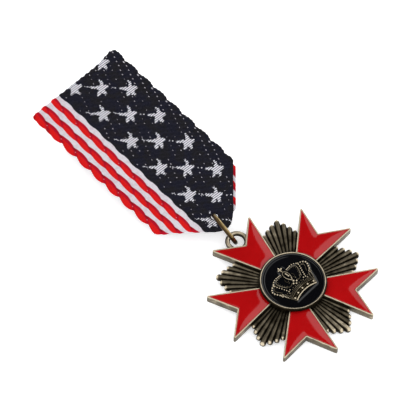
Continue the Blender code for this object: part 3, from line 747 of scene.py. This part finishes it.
def woven_stars(g, x, y):
    """How far inside a star a place is, as nodes, with the tail of loose floats from each upper left tip."""
    from_pull = g.length(g.minus(x, PULL_MIDDLE[0]), g.minus(y, PULL_MIDDLE[1]))
    pull = g.range(from_pull, *PULL_REACH, 1.0, 0.0)
    x = g.times_plus(pull, PULL_BY[0], x)
    y = g.times_plus(pull, PULL_BY[1], y)
    # every crosswise thread is white or navy over its whole width, and starts a little early or late
    row = g.math("FLOOR", g.math("DIVIDE", y, THREAD))
    ragged = g.node("ShaderNodeTexWhiteNoise", noise_dimensions="1D")
    g.put(row, ragged.inputs["W"])
    x = g.plus(x, g.times(g.minus(ragged.outputs["Value"], 0.5), 0.4))
    y = g.times(g.plus(row, 0.5), THREAD)
    found = None
    for cx, cy, tail in STAR_ROWS:
        dx = g.minus(x, cx)
        dy = g.math("WRAP", g.minus(y, cy), REPEAT / 2, -REPEAT / 2)
        squeezed = g.times_plus(dx, SQUEEZE[0] * SQUEEZE[2], g.times(dy, SQUEEZE[1] * SQUEEZE[2]))
        sx = g.times_plus(squeezed, SQUEEZE[0], dx)
        sy = g.times_plus(squeezed, SQUEEZE[1], dy)
        angle = g.math("ARCTAN2", sx, g.times(sy, -1.0))
        folded = g.math("ABSOLUTE", g.math("WRAP", angle, math.pi / 5, -math.pi / 5))
        reach = g.length(sx, sy)
        px = g.times(reach, g.math("COSINE", folded))
        py = g.times(reach, g.math("SINE", folded))
        flank = g.times_plus(py, STAR_FLANK.x, g.times(g.minus(px, STAR_RADIUS), -STAR_FLANK.y))
        parts = [g.math("MINIMUM", g.plus(flank, STAR_SWELL), g.minus(STAR_REACH, reach))]
        for start, end, half in star_tail(tail):
            run = (end[0] - start[0], end[1] - start[1])
            long = run[0] ** 2 + run[1] ** 2
            ax, ay = g.minus(dx, start[0]), g.minus(dy, start[1])
            along = g.plus(g.times(ax, run[0] / long), g.times(ay, run[1] / long), clamp=True)
            gap = g.length(g.times_plus(along, -run[0], ax), g.times_plus(along, -run[1], ay))
            parts.append(g.minus(half, gap))
        for part in parts:
            found = g.math("MAXIMUM", found, part) if found else part
    return found


def cloth_material():
    """Jacquard weave: navy ground, ragged white stars, cord-like red stripes and ribbed white ones."""
    g = Graph("jacquard_cloth")
    x, y = g.attribute("cloth_x"), g.attribute("cloth_y")
    white = g.range(g.attribute("white"), -0.04, 0.04)
    star = g.range(woven_stars(g, x, y), -0.02, 0.05)
    from_hole = g.length(g.minus(x, HOLE[0]), g.minus(y, HOLE[1]))
    star = g.times(star, g.range(from_hole, HOLE_RADIUS + 0.2, HOLE_RADIUS + 0.45))
    cord = g.range(g.attribute("cord"), -0.05, 0.05)
    shade = g.attribute("shade")
    dot = g.attribute("dot")

    across = g.waves(y, THREAD)  # crosswise threads
    along = g.waves(x, 0.30)  # lengthwise threads
    twill = g.waves(g.plus(x, y), 0.62)
    cells = g.times(across, along)
    mottle = g.noise(900, 4)
    fuzz = g.noise(3600, 3)
    patches = g.noise(330, 2)

    weave = g.times_plus(g.minus(fuzz, 0.5), 4.5, g.times_plus(cells, 0.6, twill))
    navy = g.mix(g.range(weave, -1.0, 1.7), (0.0005, 0.0005, 0.0010), (0.0310, 0.0310, 0.0470))
    tinge = g.mix(g.range(patches, 0.38, 0.62), (0.0120, 0.0105, 0.0085), (0.0075, 0.0080, 0.0180))
    navy = g.mix(0.42, navy, tinge)
    floats = g.waves(y, 1.4 * THREAD)
    satin = g.mix(g.range(floats, -0.8, 0.3), (0.07, 0.07, 0.10), (0.76, 0.75, 0.79))
    ribs = g.mix(g.range(along, -0.9, 0.3), (0.50, 0.46, 0.51), (0.72, 0.68, 0.71))
    ribs = g.mix(g.range(mottle, 0.42, 0.68), ribs, (0.55, 0.49, 0.53))
    threads = g.waves(g.plus(g.times(x, 1.6), g.times(y, 0.55)), 0.5)
    # the cords' painted shade: crimson towards the inner side, and near black in the creases at the joints
    red = g.mix(g.range(shade, 0.1, 0.8), (0.66, 0.0100, 0.0090), (0.40, 0.0050, 0.0200))
    red = g.mix(g.range(shade, 0.9, 1.7), red, (0.17, 0.002, 0.006))
    red = g.mix(g.times(g.range(threads, -1.0, 0.2, 1.0, 0.0), 0.4), red, (0.33, 0.003, 0.008))
    red = g.mix(g.times(g.range(fuzz, 0.52, 0.70), 0.5), red, (0.30, 0.003, 0.007))

    colour = g.mix(star, navy, satin)
    colour = g.mix(white, colour, ribs)
    colour = g.mix(cord, colour, red)
    colour = g.mix(dot, colour, (0.50, 0.47, 0.52))
    reverse = g.mix(g.range(mottle, 0.3, 0.7), (0.016, 0.017, 0.03), (0.05, 0.045, 0.06))
    colour = g.mix(g.times(g.range(g.attribute("reverse"), 0.4, 0.6), 0.55), colour, reverse)
    g.set(Base_Color=colour, Roughness=0.85, Specular_IOR_Level=0.05)

    ground = g.plus(g.times(twill, 0.45), g.times(cells, 0.35))
    relief = g.between(star, ground, across)
    striped = g.plus(g.times(along, 0.5), g.times(cells, 0.2))
    relief = g.between(white, relief, striped)
    relief = g.between(cord, relief, g.times(threads, 0.55))
    relief = g.plus(relief, g.times(fuzz, 0.5))
    g.set(Normal=g.bump(relief, 0.00006, 0.8))
    return g.material


# ---------------------------------------------------------------- the star

ARMS = 5
ARM_PITCH = TAU / ARMS
ARM_TIP, ARM_NOTCH = 24.3, 17.1
ARM_HALF = math.radians(18.83)
BOSS = 9.2
RAYS = 7
RAY_ROOT = 7.5
RAY_LENGTH, RAY_SHORTER = 20.6, 1.15  # the middle ray's end, and how much shorter each next one is
WEB_ROOT = 7.3
EYELET_RADIUS, EYELET_WIRE, EYELET_MIDDLE = 2.575, 0.675, (0, 19.93, 0.9)
ENAMEL_RIM = 0.405  # mm, from an arm's outline in to its cell
ENAMEL_START = 8.75
RAY_SECTION = (90, 62, 42, 27, 17, 9, 0, -9, -17, -27, -42, -62, -90)  # degrees from a ray's crest


def arm_outline(root):
    left, right = (-root * math.tan(ARM_HALF), root), (root * math.tan(ARM_HALF), root)
    tip = (ARM_TIP * math.sin(ARM_HALF), ARM_TIP * math.cos(ARM_HALF))
    return [left, right, tip, (0, ARM_NOTCH), (-tip[0], tip[1])]


def make_arm():
    """One arm along +Y: a solid with a rounded top rim round a sunk cell."""
    outline = arm_outline(7.2)
    # (inset, height, wear), up the side wall, over the rim and down into the cell
    levels = (
        (0.16, 0.0, 0.15), (0.03, 0.10, 0.3), (0.0, 0.25, 0.33), (0.0, 2.10, 0.36), (0.02, 2.25, 0.45),
        (0.08, 2.36, 0.75), (0.17, 2.40, 1.0), (0.27, 2.40, 1.0), (0.35, 2.36, 0.7), (0.40, 2.28, 0.2),
        (0.44, 1.75, 0.0),
    )
    rings, wear = [], []
    for distance, z, worn in levels:
        tip = max(0.38 - 0.75 * distance, 0.06)
        shape = rounded(inset(outline, distance), [0.05, 0.05, tip, 0.12 + distance, tip], 5)
        rings.append([(px, py, z) for px, py in shape])
        wear += [worn + 0.15 * smoothstep(15, 22, math.hypot(px, py)) for px, py in shape]
    points, faces = loft(rings)
    return points, faces, np.array(wear)


def ray_end(k):
    return RAY_LENGTH - RAY_SHORTER * abs(k - RAYS // 2)


def make_fan(shells, turn):
    """Seven half-round rays between two arms, each a rod with a rounded end, on a web."""
    spread = math.pi / ARMS - ARM_HALF
    pitch = 2 * spread / RAYS
    polish = np.random.RandomState(round(10 * turn)).rand(RAYS)
    for k in range(RAYS):
        angle = -spread + pitch * (k + 0.5)
        end = ray_end(k)
        nose = 0.5 * end * pitch
        stations = list(np.linspace(RAY_ROOT, end - nose, 9))
        stations += [end - nose + nose * math.sin(t) for t in np.linspace(0, math.pi / 2, 7)[1:]]
        rings, wear = [], []
        for r in stations:
            over = max(0.0, (r - (end - nose)) / nose)
            shrink = max(math.sqrt(max(1 - over * over, 0)), 0.12)
            half = 0.5 * r * pitch * 0.99 * shrink
            crest = 0.92 + 0.95 * (0.5 * r * pitch) * (0.35 + 0.65 * shrink)
            base, knee = 0.2 + 0.35 * (1 - shrink), 0.78
            section = [(half * 0.9, base), (half, base + 0.12)]
            for t in np.radians(RAY_SECTION):
                section.append((half * math.sin(t), knee + (crest - knee) * math.cos(t)))
            section += [(-half, base + 0.12), (-half * 0.9, base)]
            rings.append([(px, r, z) for px, z in section])
            top = np.array([z for _, z in section])
            worn = smoothstep(0.55, 1.0, (top - knee) / (crest - knee))
            worn = worn * (0.34 + 0.24 * smoothstep(10, 20, r))
            worn = worn * (0.65 + 0.7 * polish[k])
            worn = worn + 0.7 * smoothstep(0.05, 0.7, over) * smoothstep(0.5, 1.0, top)
            wear.append(worn)
        points, faces = loft(rings)
        faces = [face[::-1] for face in faces]
        shells.add(about_z(points, turn + angle), faces, wear=np.concatenate(wear))
    # the web that joins the rays below their crests
    steps = 6
    reach = spread * 1.02
    rim = []
    for i in range(RAYS * steps + 1):
        angle = -reach + 2 * reach * i / (RAYS * steps)
        k = min(RAYS - 1, max(0, i // steps))
        part = (i % steps) / steps
        end = ray_end(k) - 0.75 - 0.5 * abs(2 * part - 1) ** 2
        rim.append((-end * math.sin(angle), end * math.cos(angle)))
    root = (WEB_ROOT * math.sin(reach), WEB_ROOT * math.cos(spread))
    outline = rim + [(-root[0], root[1]), root]
    lower = [(px, py, 0.12) for px, py in outline]
    upper = [(px, py, 1.0) for px, py in outline]
    points, faces = loft([lower, upper])
    shells.add(about_z(points, turn), faces, wear=0.05)


def torus(radius, wire, steps, sides, start=0.0, end=TAU):
    whole = end - start > TAU - 1e-6
    rings = []
    for i in range(steps if whole else steps + 1):
        a = start + (end - start) * i / steps
        out = np.array([math.cos(a), math.sin(a), 0])
        turns = TAU * np.arange(sides) / sides
        lift = np.outer(wire * np.sin(turns), [0, 0, 1])
        rings.append(out * (radius + wire * np.cos(turns))[:, None] + lift)
    points, faces = loft(rings, closed=whole)
    return points, [face[::-1] for face in faces]


def make_star():
    """The casting: five arms, five fans of rays, the middle disc and the eyelet."""
    shells = Shells("wear")
    for k in range(ARMS):
        points, faces, wear = make_arm()
        shells.add(about_z(points, k * ARM_PITCH), faces, wear=wear)
        make_fan(shells, (k + 0.5) * ARM_PITCH)
    points, faces = disc([(0, 0), (8.9, 0), (9.0, 0.12), (9.0, 2.3), (0, 2.3)])
    shells.add(points, faces, wear=0.02)
    points, faces = torus(EYELET_RADIUS, EYELET_WIRE, 64, 16)
    points = points + np.array(EYELET_MIDDLE)
    shells.add(points, faces, wear=0.08 + 0.75 * smoothstep(1.2, 1.58, points[:, 2]))
    shells.piece("star_cast", STAR, BRASS, "star_body", ["star_casting"], sharp=38)


def cell_outline():
    outline = inset(arm_outline(8.0), ENAMEL_RIM)
    edge = ENAMEL_START * math.tan(ARM_HALF) - ENAMEL_RIM / math.cos(ARM_HALF)
    return [(-edge, ENAMEL_START), (edge, ENAMEL_START)] + outline[2:]


def cell_gaps(p):
    """Distances of flat places to a cell's left side, right side, notch and the bezel."""
    side = np.array([math.cos(ARM_HALF), -math.sin(ARM_HALF)])
    right = -(p @ side) - ENAMEL_RIM
    left = -(p @ np.array([-side[0], side[1]])) - ENAMEL_RIM
    tip, notch = np.array(cell_outline()[2:4])
    line = (tip - notch) / np.linalg.norm(tip - notch)
    folded = np.stack([np.abs(p[:, 0]), p[:, 1]], axis=1) - notch
    above = folded @ np.array([-line[1], line[0]])
    wedge = np.where(folded @ line > 0, np.abs(above), np.linalg.norm(folded, axis=1))
    return left, right, np.where(above < 0, wedge, -wedge), np.linalg.norm(p, axis=1) - BOSS


def make_enamels():
    """Red enamel, domed where it is wide and low where it is narrow."""
    outline = cell_outline()
    border = []
    for a, b in zip(outline, outline[1:] + outline[:1]):
        count = max(2, round(math.dist(a, b) / 0.25))
        for t in range(count):
            border.append((a[0] + (b[0] - a[0]) * t / count, a[1] + (b[1] - a[1]) * t / count))
    grid = []
    for j, y in enumerate(np.arange(ENAMEL_START, 22.2, 0.2)):
        for x in np.arange(-7.5, 7.5, 0.23) + (0.115 if j % 2 else 0):
            grid.append((x, y))
    grid = np.array(grid)
    inside = np.min(cell_gaps(grid)[:3], axis=0) > 0.12
    flat = np.concatenate([np.array(border), grid[inside]])
    result = delaunay_2d_cdt([Vector(p) for p in flat], [], [list(range(len(border)))], 1, 1e-4)
    flat = np.array([tuple(p) for p in result[0]])
    triangles = [tuple(face) for face in result[2]]
    left, right, wedge, root = cell_gaps(flat)
    dome = np.ones(len(flat))
    for gap, soft in ((left, 0.75), (right, 0.75), (wedge, 0.45), (root, 0.45)):
        dome *= 1 - np.exp(-np.clip(gap, 0, None) / soft)
    nearest = np.clip(np.minimum(np.minimum(left, right), wedge), 0, None)
    top = np.column_stack([flat, 2.25 + 0.25 * dome + 0.11 * np.exp(-nearest / 0.2)])
    bottom = np.column_stack([flat, np.full(len(flat), 1.85)])
    points, faces = thick(top, bottom, triangles)
    for k in range(ARMS):
        one = Shells()
        one.add(about_z(points, k * ARM_PITCH), faces)
        name = f"arm_enamel_{k + 1}"
        one.piece(f"{name}_domed", STAR, RED_ENAMEL, "star_body", [name])


# ---------------------------------------------------------------- the centre

ROUND = 144  # steps round the centre
POOL_RADIUS, POOL_INNER = 8.46, 0.12
POOL_LEVEL = 3.12


def make_centre():
    """The turned bezel, and the black enamel in it that creeps up at its rim and round the crown."""
    bezel = Shells("wear")
    profile = [
        (7.9, 2.35), (9.0, 2.35), (9.12, 2.5), (9.19, 2.7), (9.20, 2.95), (9.14, 3.17), (9.02, 3.37),
        (8.86, 3.50),
        (8.72, 3.53), (8.59, 3.47), (8.50, 3.32), (8.47, 3.0), (7.9, 3.0),
    ]
    points, faces = lathe(profile, ROUND)
    # the outer wall gets the darkest patina colour, which also paints the shade under the bezel's rim; the top
    # rim is worn bright
    wear = np.tile([0.0, 0.0, 0.0, 0.0, 0.0, 0.0, 0.03, 0.2, 1.3, 0.7, 0.0, 0.0, 0.0], ROUND)
    bezel.add(points, faces, wear=wear)
    points, faces = disc([(0, 0.1), (1.5, 0.1), (1.5, 2.5), (8.45, 2.5), (8.45, 2.9), (0, 2.9)], 72)
    bezel.add(points, faces, wear=0.02)
    bezel.piece("centre_bezel", STAR, BRASS, "star_body", ["centre_boss"], sharp=50)

    pool = Shells()
    rings = []
    radii = np.concatenate([np.linspace(POOL_INNER, 7.1, 50), np.linspace(7.18, POOL_RADIUS, 28)])
    turns = TAU * np.arange(ROUND) / ROUND
    for r in radii:
        px, py = r * np.cos(turns), r * np.sin(turns)
        z = POOL_LEVEL + 0.10 * np.exp(-(POOL_RADIUS - r) / 0.12)
        z = z + 0.035 * np.exp(-(crown_gap(px, py) / 0.32) ** 2)
        z = z + 0.010 * np.exp(-((r - 7.75) / 0.13) ** 2) * (1 + np.sin(turns))
        rings.append(np.stack([px, py, z], axis=1))
    floor = np.full(ROUND, 2.95)
    ends = (POOL_INNER, POOL_RADIUS)
    under = [np.stack([r * np.cos(turns), r * np.sin(turns), floor], axis=1) for r in ends]
    points, faces = loft(under + rings[::-1])
    pool.add(points, faces)
    pool.piece("centre_pool", STAR, BLACK_ENAMEL, "star_body", ["centre_enamel"])


CROWN_HALF = (
    (3.9, -5.0), (4.7, -3.4), (5.5, -1.0), (6.7, 0.8), (6.5, 1.9), (4.8, 3.3), (1.3, 3.8), (0.9, 5.2),
)
CROWN_EDGE = np.array([*CROWN_HALF, *[(-px, py) for px, py in reversed(CROWN_HALF)]])


def crown_gap(px, py):
    """Distance from the crown's outline: the enamel creeps up round it."""
    p = np.stack([px, py], axis=1)
    best = np.full(len(p), 9.0)
    for a, b in zip(CROWN_EDGE, np.roll(CROWN_EDGE, -1, axis=0)):
        t = np.clip(((p - a) @ (b - a)) / ((b - a) @ (b - a)), 0, 1)
        best = np.minimum(best, np.linalg.norm(p - a - t[:, None] * (b - a), axis=1))
    return best


CROWN_BASE = 3.14  # mm, the enamel's level under the crown
BAND_MIDDLE = -13.2  # mm, y of the point that the band's arcs turn about


def make_crown():
    """A made-up crown: a jewelled band, two beaded arches a side, a middle leaf, pearls and a small cross."""
    crown = Shells("wear")

    def raised(points, faces, worn, low, high):
        crown.add(points, faces, wear=worn * smoothstep(CROWN_BASE + low, CROWN_BASE + high, points[:, 2]))

    def wire(path, radius, worn, lift=0.0):
        path = np.column_stack([path, np.full(len(path), CROWN_BASE + 0.18 + lift)])
        points, faces = tube(path, radius, 8)
        raised(points, faces, worn, 0.1 + lift, 0.18 + lift + radius)

    def bead(px, py, size, worn, lift=0.0):
        points, faces = ball((px, py, CROWN_BASE + 0.18 + lift), size, 10, 6)
        raised(points, faces, worn, 0.05 + lift, 0.18 + lift + 0.9 * size)

    def beads(path, spacing, size, worn, lift=0.0):
        for k, (px, py) in enumerate(evenly(path, spacing)):
            bead(px, py, size * (1.0 + 0.15 * math.sin(12.9 * k + px)), worn, lift)

    def arc(radius, spread, steps=40):
        turns = np.linspace(-spread, spread, steps)
        return np.array([(radius * math.sin(a), BAND_MIDDLE + radius * math.cos(a)) for a in turns])

    # the band: a sunk dark field with jewels between a bright lower rail and a thin upper one
    spread = math.radians(25)
    inner, outer = arc(9.0, spread), arc(10.9, spread)
    outline = np.concatenate([inner, outer[::-1]])
    points, faces = loft([[(px, py, CROWN_BASE + z) for px, py in outline] for z in (-0.1, 0.08)])
    crown.add(points, faces, wear=0.02)
    wire(arc(9.08, spread), 0.17, 1.25, 0.12)
    wire(arc(10.55, spread), 0.085, 0.62, 0.05)
    wire(arc(10.95, spread * 0.97), 0.07, 0.45)
    for side in (-1, 1):
        for turn in (1.0, 0.93):
            a = side * spread * turn
            radii = np.linspace(9.1, 10.9, 5)
            bar = np.array([(r * math.sin(a), BAND_MIDDLE + r * math.cos(a)) for r in radii])
            wire(bar, 0.08, 0.6, 0.05)
    for k in range(-6, 7):
        a = k * spread / 6.8
        size = 0.3 if k % 3 == 0 else 0.14
        bead(9.82 * math.sin(a), BAND_MIDDLE + 9.82 * math.cos(a), size, 1.15 if k % 3 == 0 else 0.5, 0.04)
    beads(arc(11.3, spread * 0.9, 30), 0.46, 0.13, 0.6)

    for side in (-1, 1):
        def s(*pairs):
            return np.array([(side * px, py) for px, py in pairs])

        # the inner arch: two bars along the top, then pearls round its shoulder and down to the band
        wire(s((1.1, 3.55), (2.4, 3.62)), 0.10, 0.95, 0.08)
        wire(s((1.2, 3.1), (2.4, 3.2)), 0.08, 0.6, 0.04)
        shoulder = s(
            (2.7, 3.65), (3.7, 3.5), (4.5, 3.0), (4.75, 2.3), (4.5, 1.5), (4.1, 0.6), (3.7, -0.4), (3.3, -1.5),
        )
        arch = curve_through(shoulder, 8)
        beads(arch, 0.66, 0.20, 1.2, 0.08)
        under = curve_through(s((2.6, 3.2), (3.5, 3.0), (3.95, 2.3), (3.7, 1.3), (3.2, 0.3), (2.7, -0.5)), 8)
        wire(under, 0.075, 0.7, 0.03)
        beads(under - np.array([side * 0.42, 0.1]), 0.62, 0.12, 0.6)
        # the outer arch: pearls round a wide lobe, a pierced jewel half-way down, and the stem on the band
        lobe = curve_through(s((4.9, 2.65), (5.8, 2.3), (6.5, 1.7), (6.65, 1.0), (6.3, 0.2), (5.85, -0.6)), 8)
        beads(lobe, 0.70, 0.22, 1.3, 0.08)
        within = curve_through(s((5.2, 1.9), (5.75, 1.45), (5.75, 0.9), (5.3, 0.2), (4.85, -0.6)), 8)
        wire(within, 0.07, 0.5)
        turns = np.linspace(0, TAU * 0.97, 13)
        ring = np.array([(side * 5.45 + 0.3 * math.cos(t), -1.2 + 0.34 * math.sin(t)) for t in turns])
        wire(ring, 0.12, 0.8, 0.05)
        beads(s((5.2, -1.9), (4.75, -3.1)), 0.45, 0.17, 0.8, 0.05)
        wire(curve_through(s((4.8, -1.3), (4.4, -2.2), (4.2, -2.9)), 6), 0.09, 0.6)
        # scrolls and small pearls on the band between the arches
        for px, py, size, worn in (
            (3.55, -2.05, 0.24, 0.7), (2.7, -1.35, 0.22, 0.85), (2.15, -1.75, 0.17, 0.6),
            (3.0, -2.35, 0.16, 0.5), (1.55, -1.5, 0.17, 0.55), (4.05, -1.65, 0.15, 0.5),
            (1.25, 0.2, 0.16, 0.6), (0.75, -1.55, 0.19, 0.6),
        ):
            bead(side * px, py, size, worn)
        wire(curve_through(s((0.9, -0.4), (1.5, -0.75), (2.2, -0.6), (2.5, 0.0)), 6), 0.08, 0.55)
        wire(curve_through(s((0.75, 0.9), (1.3, 0.6), (1.6, 1.2), (1.35, 1.9)), 6), 0.06, 0.3)

    # the middle leaf with its bright vein, the pearls at its foot, the neck and the cross
    leaf = [(0.0, 3.75), (0.55, 3.3), (0.8, 2.5), (0.7, 1.6), (0.35, 0.8), (0.0, 0.35)]
    loop = curve_through([*leaf, *[(-px, py) for px, py in reversed(leaf[1:-1])], leaf[0]], 6)
    wire(loop[:-1], 0.11, 0.75, 0.08)
    wire(np.array([(0.12, 2.95), (0.2, 2.3), (0.25, 1.6)]), 0.2, 1.0, 0.1)
    for px, py, size in ((0.0, -0.15, 0.30), (0.62, -0.75, 0.28), (-0.62, -0.75, 0.28), (0.0, -1.25, 0.24)):
        bead(px, py, size, 1.1, 0.08)
    wire(np.array([(0, 3.7), (0, 4.4)]), 0.12, 0.7, 0.05)
    for dx, dy in ((0, 1), (1, 0), (-1, 0), (0, -1)):
        arm = np.array([(dx * t, 4.75 + dy * t) for t in (0.05, 0.3, 0.52, 0.66)])
        path = np.column_stack([arm, np.full(4, CROWN_BASE + 0.26)])
        points, faces = tube(path, [0.1, 0.13, 0.2, 0.23], 8, 0.7)
        raised(points, faces, 1.0, 0.1, 0.4)
    crown.piece("crown_relief", STAR, BRASS, "star_body", ["crown_emblem"], sharp=60)


# ---------------------------------------------------------------- the jump ring

RING_RADIUS, RING_WIRE = 4.725, 0.625
RING_JOINT, RING_SPLIT = math.radians(-110), math.radians(1.6)


def make_ring():
    swing = {j["name"]: j for j in RECORD["behaviour"]["joints"]}
    centre = Vector(swing["star_swing"]["pos_m"])
    normal = Vector(swing["star_swing"]["axis"]).normalized()
    chord = Vector((-normal.y, normal.x, 0)).normalized()
    up = normal.cross(chord)
    frame_of_ring = Matrix((chord, up, normal)).transposed().to_4x4()
    frame_of_ring.translation = centre
    start, end = RING_JOINT + RING_SPLIT, RING_JOINT + TAU - RING_SPLIT
    points, faces = torus(RING_RADIUS, RING_WIRE, 120, 20, start, end)
    ring = Shells("wear")
    out = np.hypot(points[:, 0], points[:, 1])
    around = np.arctan2(points[:, 2], out - RING_RADIUS)
    # painted reflection: pale and dark stripes along the wire, set by the angle round its section, stand in
    # for reflections of the lamps
    ring.add(points, faces, wear=0.40 + 0.45 * np.cos(2 * around - 1.9))
    ring.piece(
        "jump_ring_wire", frame_of_ring, RING_BRASS, "ring_body", ["jump_ring"], sharp=60,
    )


# ---------------------------------------------------------------- the pin at the back

def thread_material():
    g = Graph("tack_thread")
    strands = g.node("ShaderNodeTexWave", wave_type="BANDS", bands_direction="X")
    strands.inputs["Scale"].default_value = 900
    strands.inputs["Distortion"].default_value = 1.2
    g.tree.links.new(g.place(), strands.inputs["Vector"])
    fuzz = g.noise(4000, 3)
    colour = g.mix(strands.outputs["Fac"], (0.006, 0.006, 0.013), (0.022, 0.023, 0.045))
    g.set(Base_Color=g.mix(g.range(fuzz, 0.4, 0.8), colour, (0.03, 0.03, 0.05)), Roughness=0.85)
    g.set(Normal=g.bump(g.plus(strands.outputs["Fac"], fuzz), 0.00004, 0.8))
    return g.material


def pin_nickel():
    """Brushed nickel, stained a little and brighter along its edges."""
    g = Graph("pin_nickel")
    brushed = g.node("ShaderNodeTexNoise")
    stretched = g.node("ShaderNodeMapping")
    stretched.inputs["Scale"].default_value = (120, 2600, 2600)
    g.tree.links.new(g.place(), stretched.inputs["Vector"])
    g.tree.links.new(stretched.outputs[0], brushed.inputs["Vector"])
    brushed.inputs["Scale"].default_value = 1.0
    stains = g.noise(260, 4)
    edge = g.node("ShaderNodeNewGeometry").outputs["Pointiness"]
    colour = g.mix(g.range(stains, 0.35, 0.75), (0.60, 0.60, 0.58), (0.44, 0.43, 0.41))
    colour = g.mix(g.range(edge, 0.52, 0.62), colour, (0.80, 0.80, 0.78))
    g.set(Base_Color=colour, Metallic=1.0)
    g.set(Roughness=g.plus(0.22, g.times(stains, 0.16)))
    g.set(Normal=g.bump(brushed.outputs["Fac"], 0.00001, 0.5))
    return g.material


PIN_NODES = ("pin_base", "hinge_rivet", "pin_stem", "catch_drum", "stitch_tack_left", "stitch_tack_right")


def dress_pin():
    nickel, thread = pin_nickel(), thread_material()
    for name in PIN_NODES:
        node = frame["nodes"][name]
        node.data.materials.clear()
        node.data.materials.append(thread if name.startswith("stitch") else nickel)
        soft = node.modifiers.new("soft_edges", "BEVEL")
        soft.width = 0.06 * MM
        soft.segments = 2
        soft.limit_method = "ANGLE"
        soft.angle_limit = math.radians(50)
        node.data.shade_smooth()
        node.data.set_sharp_from_angle(angle=math.radians(50))


# ---------------------------------------------------------------- the studio

AZIMUTH, ELEVATION = math.radians(41.67), math.radians(56.37)
AHEAD = Vector((math.sin(AZIMUTH), math.cos(AZIMUTH), 0))
RIGHT = Vector((math.cos(AZIMUTH), -math.sin(AZIMUTH), 0))
TENT, OPENING = 1.35, 0.035  # radiance of the tent and of its opening
LENS, SENSOR, CAMERA_DISTANCE = 502.6, 36, 1.5
AIM = Vector((0, -10, 3))  # mm, in the layout frame
AIM_RIGHT, AIM_UP = -9.75, 11.2  # mm, from there to the middle of the view
FLOOR_SIZE, FLOOR_DROP = 3.0, 0.00005
LIT_PAPER = 0.45  # the paper is lit from below too, so that shadows on it stay faint


def aimed(obj, place, target):
    obj.location = place
    obj.rotation_mode = "QUATERNION"
    obj.rotation_quaternion = (Vector(target) - Vector(place)).to_track_quat("-Z", "Y")


def make_tent():
    """A white light tent all round, with a dark opening opposite the camera that flat tops mirror."""
    world = bpy.data.worlds.new("tent")
    world.use_nodes = True
    tree = world.node_tree
    direction = tree.nodes.new("ShaderNodeTexCoord").outputs["Generated"]

    def along(axis, *ramps):
        """The product of soft steps of the direction's part along an axis."""
        part = tree.nodes.new("ShaderNodeVectorMath")
        part.operation = "DOT_PRODUCT"
        part.inputs[1].default_value = axis
        tree.links.new(direction, part.inputs[0])
        made = []
        for low, high in ramps:
            ramp = tree.nodes.new("ShaderNodeMapRange")
            ramp.interpolation_type = "SMOOTHSTEP"
            tree.links.new(part.outputs["Value"], ramp.inputs["Value"])
            ramp.inputs["From Min"].default_value = min(low, high)
            ramp.inputs["From Max"].default_value = max(low, high)
            ramp.inputs["To Min"].default_value = 0.0 if low < high else 1.0
            ramp.inputs["To Max"].default_value = 1.0 if low < high else 0.0
            made.append(ramp.outputs["Result"])
        return made

    opening = None
    for ramp in along(RIGHT, (-0.42, -0.24), (0.125, 0.105)) + along(AHEAD, (0.16, 0.28), (0.92, 0.80)):
        if opening is None:
            opening = ramp
            continue
        both = tree.nodes.new("ShaderNodeMath")
        both.operation = "MULTIPLY"
        tree.links.new(opening, both.inputs[0])
        tree.links.new(ramp, both.inputs[1])
        opening = both.outputs[0]
    strength = tree.nodes.new("ShaderNodeMapRange")
    tree.links.new(opening, strength.inputs["Value"])
    strength.inputs["To Min"].default_value = TENT
    strength.inputs["To Max"].default_value = OPENING
    background = tree.nodes["Background"]
    background.inputs["Color"].default_value = (0.98, 0.99, 1.0, 1)
    tree.links.new(strength.outputs["Result"], background.inputs["Strength"])
    bpy.context.scene.world = world


def make_studio():
    g = Graph("paper")
    grain = g.noise(60, 3)
    colour = g.mix(grain, (0.93, 0.93, 0.93), (0.95, 0.95, 0.95))
    g.set(Base_Color=colour, Roughness=0.9, Specular_IOR_Level=0.1)
    g.set(Emission_Color=(1.0, 1.0, 1.0), Emission_Strength=LIT_PAPER)
    mesh = bpy.data.meshes.new("floor")
    corners = [(a * FLOOR_SIZE, b * FLOOR_SIZE, 0) for a, b in ((-1, -1), (1, -1), (1, 1), (-1, 1))]
    mesh.from_pydata(corners, [], [(0, 1, 2, 3)])
    mesh.materials.append(g.material)
    floor = bpy.data.objects.new("floor", mesh)
    floor.location.z = -FLOOR_DROP
    bpy.context.scene.collection.objects.link(floor)

    make_tent()

    scene = bpy.context.scene
    scene.view_settings.view_transform = "Standard"
    looking = AHEAD * math.cos(ELEVATION) - Vector((0, 0, math.sin(ELEVATION)))
    upward = AHEAD * math.sin(ELEVATION) + Vector((0, 0, math.cos(ELEVATION)))
    target = LAYOUT @ (AIM * MM) + RIGHT * AIM_RIGHT * MM + upward * AIM_UP * MM
    camera = bpy.data.cameras.new("camera")
    camera.lens = LENS
    camera.sensor_width = SENSOR
    camera.clip_start, camera.clip_end = 0.01, 10
    made = bpy.data.objects.new("camera", camera)
    bpy.context.scene.collection.objects.link(made)
    aimed(made, target - looking * CAMERA_DISTANCE, target)
    scene.camera = made


make_ribbon()
make_star()
make_enamels()
make_centre()
make_crown()
make_ring()
dress_pin()
make_studio()

bpy.context.view_layer.update()
